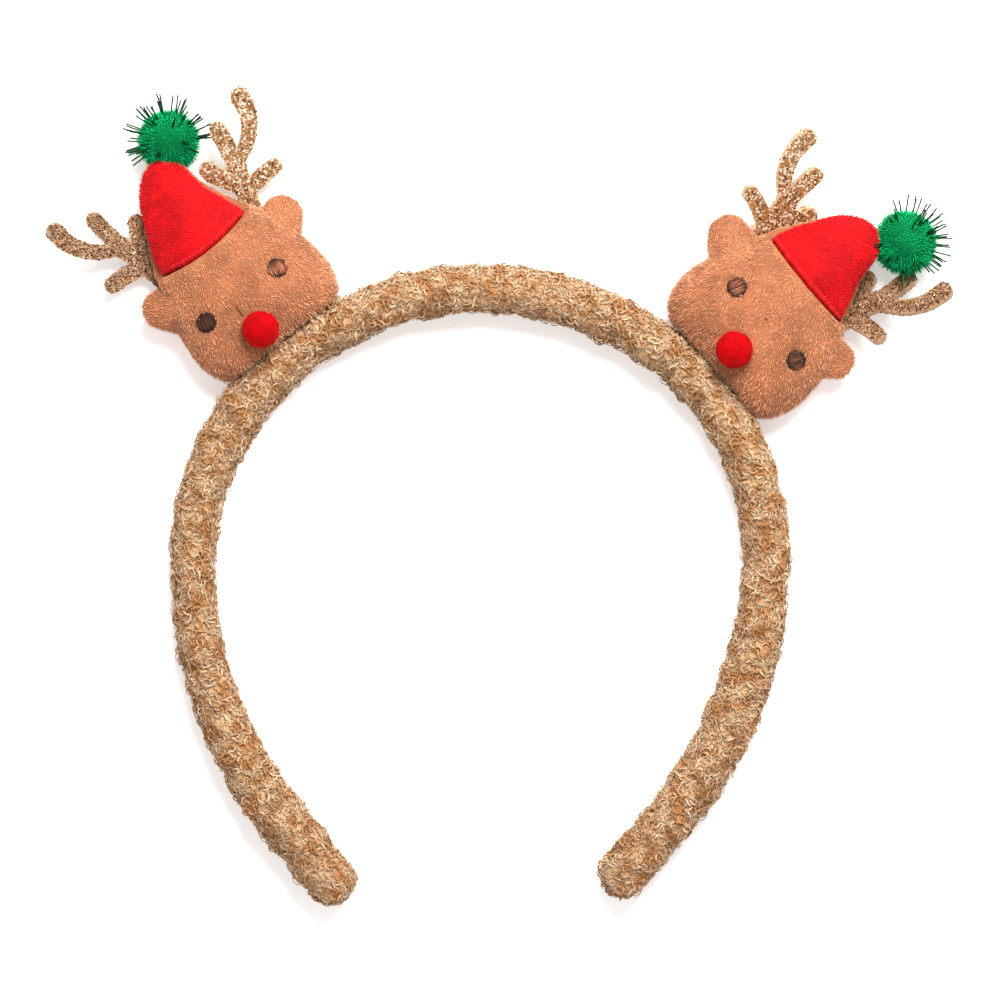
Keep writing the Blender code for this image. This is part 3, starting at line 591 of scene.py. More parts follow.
def thread_tree():
    """Makes round thread, or flat strip where its sides are few, along a mesh's edges."""
    tree, given, result = new_tree(
        "Thread",
        (("Thickness", "Float"), ("Flatness", "Float"), ("Sides", "Int"), ("Material", "Material")),
    )
    line = node(tree, "GeometryNodeMeshToCurve", {}, {0: given["Geometry"]})
    radius = node(tree, "ShaderNodeMath", {"operation": "MULTIPLY"}, (given["Thickness"], 0.5)).outputs[0]
    around = {"Resolution": given["Sides"], "Radius": radius}
    ring = node(tree, "GeometryNodeCurvePrimitiveCircle", {"mode": "RADIUS"}, around)
    size = node(tree, "ShaderNodeCombineXYZ", {}, {"X": 1.0, "Y": given["Flatness"], "Z": 1.0}).outputs[0]
    section = node(tree, "GeometryNodeTransform", {}, {"Geometry": ring.outputs[0], "Scale": size})
    body = node(
        tree,
        "GeometryNodeCurveToMesh",
        {},
        {"Curve": line.outputs[0], "Profile Curve": section.outputs[0], "Fill Caps": True},
    )
    real = node(tree, "GeometryNodeRealizeInstances", {}, {0: body.outputs[0]})
    close_tree(tree, real, given, result)
    return tree


def run_tree(piece, tree, values):
    """Runs a tree on a piece and keeps its result as a plain mesh."""
    step = piece.modifiers.new(tree.name, "NODES")
    step.node_group = tree
    for item in tree.interface.items_tree:
        if item.item_type == "SOCKET" and item.in_out == "INPUT" and item.name in values:
            step[item.identifier] = values[item.name]
    settle(piece)
    bpy.data.node_groups.remove(tree)


# Meshes


def settle(piece):
    """Turns a piece and its modifiers into a plain mesh."""
    bpy.context.view_layer.update()
    piece_now = piece.evaluated_get(bpy.context.evaluated_depsgraph_get())
    mesh = bpy.data.meshes.new_from_object(piece_now)
    mesh.name = piece.name
    piece.modifiers.clear()
    piece.data = mesh


def add_piece(name, mesh):
    piece = bpy.data.objects.new(name, mesh)
    bpy.context.scene.collection.objects.link(piece)
    return piece


def merged(name, cad_node):
    """A new piece from a CAD node's mesh, with its loose triangles joined."""
    shape = bmesh.new()
    shape.from_mesh(frame["nodes"][cad_node].data)
    bmesh.ops.remove_doubles(shape, verts=shape.verts, dist=0.002 * MM)
    mesh = bpy.data.meshes.new(name)
    shape.to_mesh(mesh)
    shape.free()
    mesh.materials.clear()
    return add_piece(name, mesh)


def hand_over(piece, slot, *nodes):
    """The last step for a finished piece: nothing of it goes below the surface it lies on."""
    for vert in piece.data.vertices:
        vert.co.z = max(vert.co.z, 0.0)
    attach(piece, "root")
    if nodes:
        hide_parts(*nodes)


def store(mesh, name, values, domain="POINT"):
    """Keeps a number under a name for each of a mesh's points or faces."""
    mesh.attributes.new(name, "FLOAT", domain).data.foreach_set("value", values)


def remeshed(piece, voxel):
    remesh = piece.modifiers.new("Remesh", "REMESH")
    remesh.mode = "VOXEL"
    remesh.voxel_size = voxel
    settle(piece)


def middle_of(name):
    low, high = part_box(name)
    return (low + high) / 2


def head_axes(head):
    """The head's own frame, found from its two eyes."""
    left, right = middle_of(head.left_eye), middle_of(head.right_eye)
    left_at, right_at = Vector((*head.left_at, 0)), Vector((*head.right_at, 0))
    seen, own = right - left, right_at - left_at
    turn = Matrix.Rotation(math.atan2(seen.y, seen.x) - math.atan2(own.y, own.x), 4, "Z")
    origin = (left + right) / 2 - turn @ ((left_at + right_at) / 2)
    origin.z = 0
    return Matrix.Translation(origin) @ turn


def brow_line(head, across):
    """How far up the head the hat's edge lies, at a distance across the head."""
    share = (across - head.hat_centre) / head.hat_half
    return head.brow - head.hat_sag * max(0.0, 1 - share * share)


def tube(points, radius, sides):
    """Vertices and faces of a closed round tube along points."""
    verts, faces = [], []
    for index, point in enumerate(points):
        ahead = points[min(index + 1, len(points) - 1)] - points[max(index - 1, 0)]
        if index == 0:
            first = ahead.orthogonal().normalized()
        else:
            first = first - ahead * (first @ ahead) / (ahead @ ahead)
        first.normalize()
        second = ahead.cross(first).normalized()
        for side in range(sides):
            angle = 2 * math.pi * side / sides
            verts.append(point + (first * math.cos(angle) + second * math.sin(angle)) * radius)
    for index in range(len(points) - 1):
        low, high = index * sides, (index + 1) * sides
        for side in range(sides):
            after = (side + 1) % sides
            faces.append((low + side, low + after, high + after, high + side))
    faces.append(tuple(reversed(range(sides))))
    faces.append(tuple(range(len(verts) - sides, len(verts))))
    return verts, faces


def shape_collection(name, meshes):
    """A collection of small shapes, kept out of the scene."""
    group = bpy.data.collections.new(name)
    for mesh in meshes:
        group.objects.link(bpy.data.objects.new(mesh.name, mesh))
    return group


def drop_collection(group):
    for item in list(group.objects):
        bpy.data.objects.remove(item)
    bpy.data.collections.remove(group)


def with_tips(mesh, tips):
    """Marks how far each vertex is from the root, 0, to the tip, 1."""
    store(mesh, "tip", tips)
    mesh.shade_smooth()
    return mesh


def spike_mesh(name, length, width):
    """One tuft of pile: three sides on a closed root."""
    mesh = bpy.data.meshes.new(name)
    foot = [Vector((math.cos(turn) * width / 2, math.sin(turn) * width / 2, 0)) for turn in (0.0, 2.1, 4.2)]
    mesh.from_pydata([*foot, Vector((0, 0, length))], [], [(0, 2, 1), (0, 1, 3), (1, 2, 3), (2, 0, 3)])
    return with_tips(mesh, [0.0, 0.0, 0.0, 1.0])


def flake_mesh(size):
    """One thin square flake."""
    mesh = bpy.data.meshes.new("flake")
    half, thick = size / 2, size * 0.08
    corners = [(-half, -half), (half, -half), (half, half), (-half, half)]
    verts = [(x, y, level) for level in (0.0, thick) for x, y in corners]
    faces = [(3, 2, 1, 0), (4, 5, 6, 7)] + [(i, (i + 1) % 4, 4 + (i + 1) % 4, 4 + i) for i in range(4)]
    mesh.from_pydata(verts, [], faces)
    for name in ("tip", "glitter"):
        store(mesh, name, [1.0] * len(verts))
    return mesh


def curl_meshes(looks):
    """Six curls of yarn, some standing and some leaning far over, the last two of thinner yarn."""
    radius = looks.loop / 2
    steps, sides = 8, 3
    found = []
    for turns, rise, drift, tilt, thin in (
        (0.84, 0.20, 0.45, 35, 1.0),
        (0.92, 0.22, 0.60, 60, 1.0),
        (0.95, 0.26, 0.25, 78, 1.0),
        (0.72, 0.30, 0.80, 15, 1.0),
        (0.88, 0.30, 0.50, 68, 0.75),
        (0.60, 0.55, 1.20, 45, 0.45),
    ):
        points = []
        tilted = Matrix.Rotation(math.radians(tilt), 3, "X")
        for step in range(steps):
            share = step / (steps - 1)
            angle = math.radians(90) + 2 * math.pi * turns * (share - 0.5)
            aside = drift * radius * (share - 0.5) * 2
            point = tilted @ Vector((math.cos(angle) * radius, aside, math.sin(angle) * radius))
            point.z += radius * rise
            points.append(point)
        verts, faces = tube(points, looks.yarn / 2 * thin, sides)
        mesh = bpy.data.meshes.new("curl")
        mesh.from_pydata(verts, [], faces)
        low = min(vert.z for vert in verts)
        high = max(vert.z for vert in verts)
        # The yarn is darker low on a curl: painted shade among the loops
        tips = [0.35 + 0.65 * min(1.0, (vert.z - low) / (high - low) * 1.5) for vert in verts]
        store(mesh, "strand", [float(index % sides) for index in range(len(verts))])
        found.append(with_tips(mesh, tips))
    return found


def swell(piece, voxel, most, hold):
    """Blows a stuffed piece up as a cushion. hold gives the share of the movement that a place keeps."""
    for vert in piece.data.vertices:
        vert.co -= vert.normal * most * 0.4 * hold(vert.co)
    remeshed(piece, voxel)
    rest = [vert.co.copy() for vert in piece.data.vertices]
    cloth = piece.modifiers.new("Cloth", "CLOTH")
    cloth.settings.mass = CLOTH_MASS
    cloth.settings.use_pressure = True
    cloth.settings.uniform_pressure_force = CLOTH_PRESSURE
    cloth.settings.effector_weights.gravity = 0.0
    cloth.point_cache.frame_end = CLOTH_FRAMES
    for step in range(1, CLOTH_FRAMES + 1):
        bpy.context.scene.frame_set(step)
    bpy.context.view_layer.update()
    blown = piece.evaluated_get(bpy.context.evaluated_depsgraph_get()).data
    moved = [vert.co.copy() for vert in blown.vertices]
    piece.modifiers.clear()
    bpy.context.scene.frame_set(1)
    largest = 0.0
    for vert, start, end in zip(piece.data.vertices, rest, moved):
        step = end - start
        largest = max(largest, step.length)
        if step.length > most:
            step.length = most
        vert.co = start + step * hold(start)
    print(f"{piece.name} swelled by {largest / MM:.2f} mm before the cap")


def subdivide(piece, smooth_first):
    """Evens a piece out, then makes its mesh finer."""
    even = piece.modifiers.new("Even", "SMOOTH")
    even.iterations = smooth_first
    even.factor = 0.5
    finer = piece.modifiers.new("Finer", "SUBSURF")
    finer.levels = 1
    finer.render_levels = 1
    settle(piece)
    piece.data.shade_smooth()


def set_nap(piece, share):
    """Marks where a piece carries its pile: share gives it from a place and the way the surface faces."""
    store(piece.data, "nap", [share(vert.co, vert.normal) for vert in piece.data.vertices])


def surface_of(piece):
    """Something to look up places on a piece with."""
    shape = bmesh.new()
    shape.from_mesh(piece.data)
    found = BVHTree.FromBMesh(shape)
    shape.free()
    return found


def level_at(surface, place):
    """The height of the surface over a place, seen from the front."""
    hit = surface.ray_cast(Vector((place.x, place.y, 0.1)), Vector((0, 0, -1)))[0]
    return hit.z if hit else 0.0


def line_mesh(name, lines, shades):
    """A mesh of open lines, each with its own shade or one for each of its points."""
    mesh = bpy.data.meshes.new(name)
    verts, edges, values = [], [], []
    for line, shade in zip(lines, shades):
        start = len(verts)
        verts += line
        edges += [(start + step, start + step + 1) for step in range(len(line) - 1)]
        values += shade if isinstance(shade, list) else [shade] * len(line)
    mesh.from_pydata(verts, edges, [])
    store(mesh, "shade", values)
    return mesh


def stitched(name, lines, shades, thickness, flatness, sides, finish):
    """A piece of thread or strip along lines."""
    piece = add_piece(name, line_mesh(name, lines, shades))
    values = {"Thickness": thickness, "Flatness": flatness, "Sides": sides, "Material": finish}
    run_tree(piece, thread_tree(), values)
    return piece


def piled(piece, meshes, finish, spacing, swirl, swirl_size, sizes, seed, combed=(0.0, 0.0, 0.0), keep=True):
    """Sets pile on a piece, its shapes scaled between two sizes. keep leaves the surface under them."""
    group = shape_collection(f"{piece.name} shapes", meshes)
    smallest, largest = sizes
    settings = {
        "Shapes": group,
        "Kinds": len(meshes),
        "Spacing": spacing,
        "Seed": seed,
        "Combed": combed,
        "Swirl": swirl,
        "Swirl Size": swirl_size,
        "Smallest": smallest,
        "Largest": largest,
        "Keep Surface": keep,
        "Material": finish,
    }
    run_tree(piece, pile_tree(), settings)
    drop_collection(group)


# The operators, one for each piece or group of like pieces


class HEADBAND_OT_add_band(bpy.types.Operator):
    """Dresses the band in looped fleece"""

    bl_idname = "headband.add_band"
    bl_label = "Band"

    def execute(self, context):
        looks = context.scene.headband_band
        finish = fleece_material(looks, "polyester loop fleece", strand_lines)
        backing = fleece_material(looks, "polyester fleece backing", curled_lines)
        band = merged("band_fleece", "band")
        for vert in band.data.vertices:
            vert.co -= vert.normal * looks.inset * (0.0 if vert.co.z < 0.3 * MM else 1.0)
        swell(band, 2.0 * MM, 0.5 * MM, lambda place: min(1.0, place.z / (3 * MM)))
        subdivide(band, smooth_first=2)
        for vert in band.data.vertices:
            lump = noise.noise(vert.co / (4.5 * MM)) + noise.noise(vert.co / (1.8 * MM)) * 0.45
            vert.co += vert.normal * lump * MM * min(1.0, max(0.0, vert.co.z) / (2 * MM))
            vert.co.z = max(vert.co.z, 0.0)
        band.data.materials.append(backing)
        # The backing is coloured part way from the backing colour towards the yarn's: partly its own colour,
        # partly painted shade between the loops
        store(band.data, "tip", [0.55] * len(band.data.vertices))
        for part, (across, up) in PARTS.items():
            loops = add_piece(f"band_loops_{part}", band.data.copy())

            def share(place, facing):
                inside = place.x * across >= 0 and (place.y - PARTS_MEET) * up >= 0
                return 1.0 if inside and (facing.z > -0.6 or place.z > 4 * MM) else 0.0

            set_nap(loops, share)
            curls = curl_meshes(looks)
            piled(loops, curls, finish, looks.spacing, 1.5, 2 * MM, (0.7, 1.25), 3, keep=False)
            hand_over(loops, "band")
        hand_over(band, "band", "band")
        return {"FINISHED"}


class HEADBAND_OT_add_heads(bpy.types.Operator):
    """Dresses the heads in short plush and sinks their eyes into it"""

    bl_idname = "headband.add_heads"
    bl_label = "Heads"

    def execute(self, context):
        looks = context.scene.headband_plush
        finish = pile_material("short polyester plush", looks.root, looks.tip, 0.85, 0.3, 7 * MM, 0.42)
        for head in HEADS:
            axes = head_axes(head)
            inverse = axes.inverted()
            spots = [Vector((*at, 0)) for at in (head.left_at, head.right_at)]
            piece = merged(f"{head.side}_head_plush", f"{head.side}_head")

            def hold(place):
                own = inverse @ place
                over = 1.0 if own.y < head.brow - 3 * MM else 0.0
                return over * min(1.0, max(0.0, place.z) / (4 * MM))

            swell(piece, 1.1 * MM, looks.swell, hold)
            subdivide(piece, smooth_first=1)
            for vert in piece.data.vertices:
                own = inverse @ vert.co
                if own.z < SEAM_LEVEL:
                    continue
                front = min(1.0, (own.z - SEAM_LEVEL) / (4 * MM))
                sunk = 0.0
                for spot in spots:
                    away = math.hypot(own.x - spot.x, own.y - spot.y)
                    sunk += 0.8 * math.exp(-((away / (3.2 * MM)) ** 2))
                between = max(0.0, 1 - (own.x / (16 * MM)) ** 2)
                sunk += 0.35 * math.exp(-(((own.y + 1.0 * MM) / (2.6 * MM)) ** 2)) * between
                vert.co.z -= sunk * front * MM
            set_nap(piece, self.pile_share(head, inverse))
            tuft = spike_mesh("pile", looks.pile, PILE_WIDTH)
            combed = tuple(axes.to_3x3() @ Vector((0.25, -1.1, 0.1)))
            piled(piece, [tuft], finish, looks.spacing, 2.4, 2.5 * MM, (0.6, 1.2), 1, combed)
            hand_over(piece, "plush", f"{head.side}_head")
        return {"FINISHED"}

    def pile_share(self, head, inverse):
        """Pile everywhere but under the hat, under the eyes and where the head lies on the table."""
        spots = [Vector((*at, 0)) for at in (head.left_at, head.right_at)]

        def share(place, facing):
            own = inverse @ place
            if facing.z < -0.3:
                return 0.0 if place.z < 1 * MM else 0.5
            if own.z <= SEAM_LEVEL:
                return 1.0
            if own.y > brow_line(head, own.x) - 0.3 * MM and abs(own.x - head.hat_centre) < head.hat_half:
                return 0.0
            nearest = min(math.hypot(own.x - spot.x, own.y - spot.y) for spot in spots)
            return 0.0 if nearest < EYE_CLEARING else 1.0

        return share


class HEADBAND_OT_add_ears(bpy.types.Operator):
    """Dresses the ears in the heads' plush"""

    bl_idname = "headband.add_ears"
    bl_label = "Ears"

    def execute(self, context):
        looks = context.scene.headband_plush
        finish = bpy.data.materials["short polyester plush"]
        for head in HEADS:
            axes = head_axes(head)
            for which in ("outer", "inner"):
                name = f"{head.side}_ear_{which}"
                piece = merged(f"{name}_plush", name)
                centre = middle_of(name)
                away = centre - axes.translation
                away.z = 0
                away.normalize()
                swell(piece, 0.8 * MM, 0.5 * MM, lambda place: 1.0)
                subdivide(piece, smooth_first=2)
                self.sew_in(piece, centre, away)
                set_nap(piece, lambda place, facing: 1.0)
                tuft = spike_mesh("pile", looks.pile * 0.9, PILE_WIDTH)
                combed = tuple(away * 0.9)
                piled(piece, [tuft], finish, looks.spacing, 2.0, 3 * MM, (0.6, 1.1), 7, combed)
                hand_over(piece, "plush", name)
        return {"FINISHED"}

    def sew_in(self, piece, centre, away):
        """Draws the ear's root into the seam, widens it and lets it rise on to the face."""
        reach = max((vert.co - centre).dot(away) for vert in piece.data.vertices)
        across = Vector((-away.y, away.x, 0.0))
        for vert in piece.data.vertices:
            out = (vert.co - centre).dot(away) / reach
            rooted = min(1.0, max(0.0, (0.6 - out) / 1.4))
            vert.co -= away * EAR_DRAWN_IN * rooted
            vert.co += across * (vert.co - centre).dot(across) * EAR_WIDER * rooted
            if vert.co.z > SEAM_LEVEL:
                vert.co.z += EAR_LIFTED * rooted * (vert.co.z - SEAM_LEVEL) / (2.7 * MM)


class HEADBAND_OT_add_hats(bpy.types.Operator):
    """Dresses the hats in red plush and stitches their edges"""

    bl_idname = "headband.add_hats"
    bl_label = "Hats"

    def execute(self, context):
        looks = context.scene.headband_hat
        finish = pile_material("short red plush", looks.root, looks.tip, 0.8, 0.2, 7 * MM, 0.34)
        thread = thread_material("red sewing thread", linear(DARK_RED_THREAD), looks.stitch, 0.5)
        for head in HEADS:
            axes = head_axes(head)
            inverse = axes.inverted()
            name = f"{head.side}_hat"
            piece = merged(f"{name}_plush", name)

            def above_edge(place):
                own = inverse @ place
                return own.y - brow_line(head, own.x)

            swell(piece, 0.8 * MM, 0.6 * MM, lambda place: min(1.0, max(0.0, above_edge(place)) / (4 * MM)))
            subdivide(piece, smooth_first=1)
            for vert in piece.data.vertices:
                pressed = 1 - min(1.0, max(0.0, above_edge(vert.co) - looks.stitch_width * 0.8) / (1.6 * MM))
                if vert.co.z > SEAM_LEVEL + 2 * MM:
                    vert.co.z -= 0.7 * MM * pressed
            surface = surface_of(piece)
            lines, shades = self.stitches(head, axes, surface, looks)
            bare = looks.stitch_width * 0.85
            set_nap(piece, lambda place, facing: 0.0 if above_edge(place) < bare or facing.z < -0.5 else 1.0)
            tuft = spike_mesh("pile", looks.pile, 0.30 * MM)
            combed = tuple(axes.to_3x3() @ Vector((0.5, 0.9, 0.2)))
            piled(piece, [tuft], finish, looks.spacing, 2.2, 3 * MM, (0.6, 1.15), 5, combed)
            hand_over(piece, "hat", name)
            edge = stitched(f"{name}_stitches", lines, shades, looks.thread, 1.0, 5, thread)
            hand_over(edge, "hat")
        return {"FINISHED"}

    def stitches(self, head, axes, surface, looks):
        """Slanting stitches side by side from the hat's edge up, their ends drawn into the cloth."""
        chance = random.Random(12)
        lines, shades = [], []
        count = int(2 * head.hat_half / looks.stitch_pitch)
        for step in range(count + 1):
            share = -0.97 + 1.94 * step / count
            across = head.hat_centre + head.hat_half * share
            low = brow_line(head, across)
            slant = (0.35 if step % 2 else -0.15) * MM + chance.uniform(-0.08, 0.08) * MM
            height = looks.stitch_width * chance.uniform(0.88, 1.08)
            line = []
            for stop, sink in ((0.0, 0.25), (0.15, -0.08), (0.5, -0.2), (0.85, -0.1), (1.0, 0.25)):
                own = Vector((across + slant * (stop - 0.5), low - 0.2 * MM + height * stop, 0))
                place = axes @ own
                inner = axes @ Vector((own.x, max(own.y, low + 0.35 * MM), 0))
                place.z = level_at(surface, inner) - sink * MM
                line.append(place)
            lines.append(line)
            shades.append(chance.random())
        return lines, shades


class HEADBAND_OT_add_pompoms(bpy.types.Operator):
    """Makes the fluffy pompoms with their strips of tinsel"""

    bl_idname = "headband.add_pompoms"
    bl_label = "Pompoms"

    def execute(self, context):
        looks = context.scene.headband_pompom
        finish = pile_material("acrylic pompom fibre", looks.root, looks.tip, 0.85, 0.08, 4 * MM, 0.42)
        film = tinsel_material(looks)
        for pompom, head in zip(POMPOMS, HEADS):
            name = f"{pompom.side}_pompom"
            axes = head_axes(head)
            centre = axes @ Vector((pompom.across, pompom.up, pompom.level))
            shape = bmesh.new()
            bmesh.ops.create_icosphere(shape, subdivisions=5, radius=1.0)
            for vert in shape.verts:
                way = vert.co.normalized()
                lump = noise.noise(way * 2.2 + Vector((pompom.seed, 0, 0))) * 0.06
                vert.co = centre + way * pompom.radius * (0.93 + lump)
            mesh = bpy.data.meshes.new(f"{name}_fluff")
            shape.to_mesh(mesh)
            shape.free()
            ball = add_piece(f"{name}_fluff", mesh)
            for other in (f"{pompom.side}_hat", f"{pompom.side}_head"):
                cut = ball.modifiers.new(other, "BOOLEAN")
                cut.operation = "DIFFERENCE"
                cut.object = frame["nodes"][other]
            settle(ball)
            ball.data.materials.clear()
            set_nap(ball, lambda place, facing: 1.0 if (place - centre).length > pompom.radius * 0.8 else 0.0)
            fibre = spike_mesh("fibre", looks.fibre, 0.24 * MM)
            piled(ball, [fibre], finish, looks.spacing, 2.6, 2 * MM, (0.6, 1.35), pompom.seed)
            hand_over(ball, "pompom", name)
            lines, shades = self.strips(pompom, axes, looks)
            tinsel = stitched(f"{name}_tinsel", lines, shades, looks.strip, 0.3, 4, film)
            hand_over(tinsel, "pompom")
        return {"FINISHED"}

    def strips(self, pompom, axes, looks):
        """Lines that stand out of the ball in tufts and bend a little."""
        chance = random.Random(pompom.seed)
        centre = Vector((pompom.across, pompom.up, pompom.level))
        lines, shades = [], []
        for round_deg, rise_deg, strips in TUFTS[pompom.side]:
            for _ in range(strips):
                turn = math.radians(round_deg + chance.uniform(-11, 11))
                rise = math.radians(rise_deg + chance.uniform(-11, 11))
                flat = math.cos(rise)
                way = Vector((flat * math.cos(turn), flat * math.sin(turn), math.sin(rise)))
                bend = Vector((chance.uniform(-1, 1), chance.uniform(-1, 1), chance.uniform(-0.5, 0.5)))
                far = pompom.radius + looks.reach * chance.uniform(0.55, 1.0)
                line = []
                for step in range(4):
                    share = step / 3
                    out = pompom.radius * 0.7 + (far - pompom.radius * 0.7) * share
                    line.append(axes @ (centre + way * out + bend * 0.5 * MM * share * share))
                lines.append(line)
                shades.append(chance.random())
        return lines, shades


class HEADBAND_OT_add_faces(bpy.types.Operator):
    """Makes the felted noses, the stitched eyes and the single dark stitches"""

    bl_idname = "headband.add_faces"
    bl_label = "Faces"

    def execute(self, context):
        looks = context.scene.headband_face
        felt = pile_material("felted wool", looks.nose_root, looks.nose_tip, 0.9, 0.08, 2 * MM, 0.2)
        thread = thread_material("brown embroidery thread", looks.eye_dark, looks.eye_light, 0.6)
        for head in HEADS:
            axes = head_axes(head)
            surface = surface_of(bpy.data.objects[f"{head.side}_head_plush"])
            self.add_nose(head, looks, felt)
            for name in (head.left_eye, head.right_eye):
                self.add_eye(name, surface, looks, thread, axes)
            for mark in MARKS:
                if mark.side == head.side:
                    self.add_mark(mark, axes, surface, thread)
        return {"FINISHED"}

    def add_nose(self, head, looks, felt):
        """A slightly uneven felted ball with a few loose fibres."""
        name = f"{head.side}_nose"
        nose = merged(f"{name}_felt", name)
        remeshed(nose, 0.5 * MM)
        subdivide(nose, smooth_first=3)
        for vert in nose.data.vertices:
            vert.co += vert.normal * noise.noise(vert.co / (1.6 * MM)) * 0.12 * MM
        set_nap(nose, lambda place, facing: 1.0 if facing.z > -0.7 else 0.0)
        fuzz = spike_mesh("fuzz", looks.fuzz, 0.12 * MM)
        piled(nose, [fuzz], felt, 0.42 * MM, 3.0, 1 * MM, (0.5, 1.3), 2)
        hand_over(nose, "nose", name)

    def add_eye(self, name, surface, looks, thread, axes):
        """A patch of satin stitch: threads side by side in two layers."""
        chance = random.Random(name)
        centre = middle_of(name)
        lines, shades = [], []
        for layer, turn_deg in enumerate((35, 75)):
            ahead = axes.to_3x3() @ Matrix.Rotation(math.radians(turn_deg), 3, "Z") @ Vector((1, 0, 0))
            beside = Vector((-ahead.y, ahead.x, 0))
            pitch = looks.pitch * (1 + 0.6 * layer)
            rows = int(EYE_RADIUS / pitch)
            for row in range(-rows, rows + 1):
                aside = row * pitch + chance.uniform(-0.05, 0.05) * MM
                half = math.sqrt(max(0.0, EYE_RADIUS * EYE_RADIUS - aside * aside))
                half += chance.uniform(-0.1, 0.2) * MM
                line = []
                for stop in (-1.0, -0.85, -0.4, 0.0, 0.4, 0.85, 1.0):
                    place = centre + beside * aside + ahead * half * stop
                    raised = (0.30 + 0.16 * layer) if abs(stop) < 0.95 else -0.2
                    place.z = level_at(surface, place) + raised * MM
                    line.append(place)
                lines.append(line)
                # Each eye's share lightens its threads towards the pale colour: a painted glint
                shade = (0.15 + chance.random()) * EYE_GLINT[name] * (1.0 if layer else 0.6)
                speckled = [shade * (0.3 + chance.random()) for _ in range(3)]
                shades.append([0.0, 0.1 * shade, *speckled, 0.1 * shade, 0.0])
        eye = stitched(f"{name}_stitches", lines, shades, looks.thread, 1.0, 5, thread)
        hand_over(eye, "eye", name)

    def add_mark(self, mark, axes, surface, thread):
        """A short thread that stands up over the pile."""
        start, end = (Vector((*place, 0)) for place in (mark.start, mark.end))
        line = []
        for share, raised in ((0.0, 0.2), (0.2, 0.9), (0.5, 1.0), (0.8, 0.9), (1.0, 0.2)):
            place = axes @ start.lerp(end, share)
            place.z = level_at(surface, place) + raised * 0.6 * MM
            line.append(place)
        piece = stitched(f"{mark.side}_thread_end", [line], [0.1], 0.22 * MM, 1.0, 5, thread)
        hand_over(piece, "eye")


class HEADBAND_OT_add_antlers(bpy.types.Operator):
    """Covers the antlers with glitter"""

    bl_idname = "headband.add_antlers"
    bl_label = "Antlers"

    def execute(self, context):
        looks = context.scene.headband_antler
        finish = glitter_material(looks)
        for head in HEADS:
            for which in ("outer", "inner"):
                name = f"{head.side}_antler_{which}"
                piece = merged(f"{name}_glitter", name)
                axis = self.plate_axis(piece.data)
                values = [1.0 if abs(face.normal.dot(axis)) > 0.7 else 0.0 for face in piece.data.polygons]
                for quality in ("nap", "glitter"):
                    store(piece.data, quality, values, "FACE")
                # This side's share of painted shade, stored as its tone
                tone = SHEET_SHADE[f"{head.side}_{which}"]
                flake = flake_mesh(looks.flake)
                for mesh in (piece.data, flake):
                    store(mesh, "tone", [tone] * len(mesh.vertices))
                piled(piece, [flake], finish, looks.spacing, 1.0, 0.3 * MM, (0.6, 1.15), 9)
                hand_over(piece, "antler", name)
        return {"FINISHED"}

    def plate_axis(self, mesh):
        """The way the sheet's two large faces look."""
        sums = {}
        for face in mesh.polygons:
            way = face.normal if face.normal.z > 0 else -face.normal
            key = tuple(round(c, 2) for c in way)
            sums[key] = sums.get(key, 0.0) + face.area
        return Vector(max(sums, key=sums.get)).normalized()


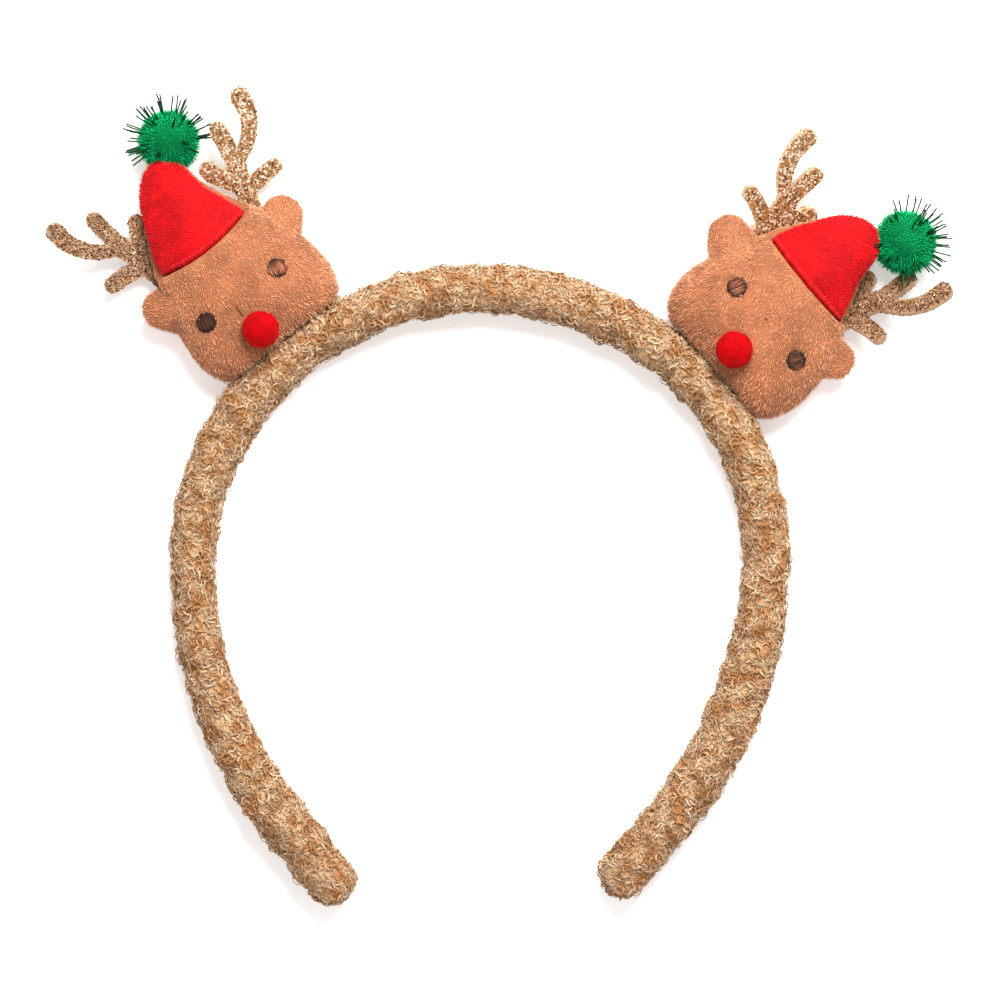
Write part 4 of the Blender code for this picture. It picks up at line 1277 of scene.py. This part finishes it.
class HEADBAND_OT_add_stage(bpy.types.Operator):
    """Lays the floor and sets the light and the camera"""

    bl_idname = "headband.add_stage"
    bl_label = "Stage"

    def execute(self, context):
        looks = context.scene.headband_stage
        scene = context.scene
        mesh = bpy.data.meshes.new("floor")
        mesh.from_pydata([(-3, -3, 0), (3, -3, 0), (3, 3, 0), (-3, 3, 0)], [], [(0, 1, 2, 3)])
        floor = add_piece("floor", mesh)
        # Opal acrylic light panel, faintly uneven, lit from below so that shadows on it stay weak
        made, tree, shader = new_material("lit opal acrylic panel")
        shader.inputs["Emission Color"].default_value = (1.0, 1.0, 1.0, 1.0)
        shader.inputs["Emission Strength"].default_value = PANEL_GLOW
        place = node(tree, "ShaderNodeTexCoord", {}, ()).outputs["Object"]
        lumps = node(tree, "ShaderNodeTexNoise", {}, {"Vector": place, "Scale": 1 / (120 * MM)})
        tone = node(tree, "ShaderNodeMapRange", {}, (lumps.outputs["Fac"], 0.3, 0.7, 0.0, 1.0)).outputs[0]
        colours = {0: tone, 6: list(looks.floor), 7: linear(PANEL_UNEVEN)}
        colour = node(tree, "ShaderNodeMix", MIXED, colours).outputs[2]
        tree.links.new(colour, shader.inputs["Base Color"])
        shader.inputs["Roughness"].default_value = 0.9
        shader.inputs["Specular IOR Level"].default_value = 0.2
        mesh.materials.append(made)
        world = bpy.data.worlds.new("studio")
        world.use_nodes = True
        world.node_tree.nodes["Background"].inputs["Color"].default_value = (1.0, 1.0, 1.0, 1.0)
        world.node_tree.nodes["Background"].inputs["Strength"].default_value = looks.sky
        scene.world = world
        lamp = bpy.data.lights.new("key", "AREA")
        lamp.energy = looks.key
        lamp.shape = "DISK"
        lamp.size = KEY_WIDTH
        key = bpy.data.objects.new("key", lamp)
        key.location = KEY_PLACE
        key.rotation_euler = (Vector(KEY_TARGET) - key.location).to_track_quat("-Z", "Y").to_euler()
        scene.collection.objects.link(key)
        lens = bpy.data.cameras.new("camera")
        lens.sensor_width = SENSOR_WIDTH
        lens.lens = SENSOR_WIDTH * looks.distance / looks.width
        lens.clip_start = 0.05
        lens.clip_end = 20.0
        camera = bpy.data.objects.new("camera", lens)
        camera.location = (CAMERA_ACROSS, CAMERA_ALONG, looks.distance + BAND_FRONT)
        scene.collection.objects.link(camera)
        scene.camera = camera
        scene.view_settings.view_transform = "Standard"
        return {"FINISHED"}


OPERATORS = (
    HEADBAND_OT_add_stage,
    HEADBAND_OT_add_band,
    HEADBAND_OT_add_heads,
    HEADBAND_OT_add_ears,
    HEADBAND_OT_add_hats,
    HEADBAND_OT_add_pompoms,
    HEADBAND_OT_add_faces,
    HEADBAND_OT_add_antlers,
)


class HEADBAND_PT_pieces(bpy.types.Panel):
    """Lists the pieces and their settings"""

    bl_idname = "HEADBAND_PT_pieces"
    bl_label = "Reindeer headband"
    bl_space_type = "VIEW_3D"
    bl_region_type = "UI"
    bl_category = "Headband"

    def draw(self, context):
        for operator in OPERATORS:
            self.layout.operator(operator.bl_idname)
        for name, looks in LOOKS.items():
            box = self.layout.box()
            box.label(text=looks.__doc__)
            for setting in looks.__annotations__:
                box.prop(getattr(context.scene, name), setting)


def register():
    for name, looks in LOOKS.items():
        bpy.utils.register_class(looks)
        setattr(bpy.types.Scene, name, bpy.props.PointerProperty(type=looks))
    for operator in OPERATORS:
        bpy.utils.register_class(operator)
    bpy.utils.register_class(HEADBAND_PT_pieces)


def unregister():
    bpy.utils.unregister_class(HEADBAND_PT_pieces)
    for operator in reversed(OPERATORS):
        bpy.utils.unregister_class(operator)
    for name, looks in reversed(LOOKS.items()):
        delattr(bpy.types.Scene, name)
        bpy.utils.unregister_class(looks)


def main():
    register()
    bpy.ops.headband.add_stage()
    bpy.ops.headband.add_band()
    bpy.ops.headband.add_heads()
    bpy.ops.headband.add_ears()
    bpy.ops.headband.add_hats()
    bpy.ops.headband.add_pompoms()
    bpy.ops.headband.add_faces()
    bpy.ops.headband.add_antlers()


if __name__ == "__main__":
    main()
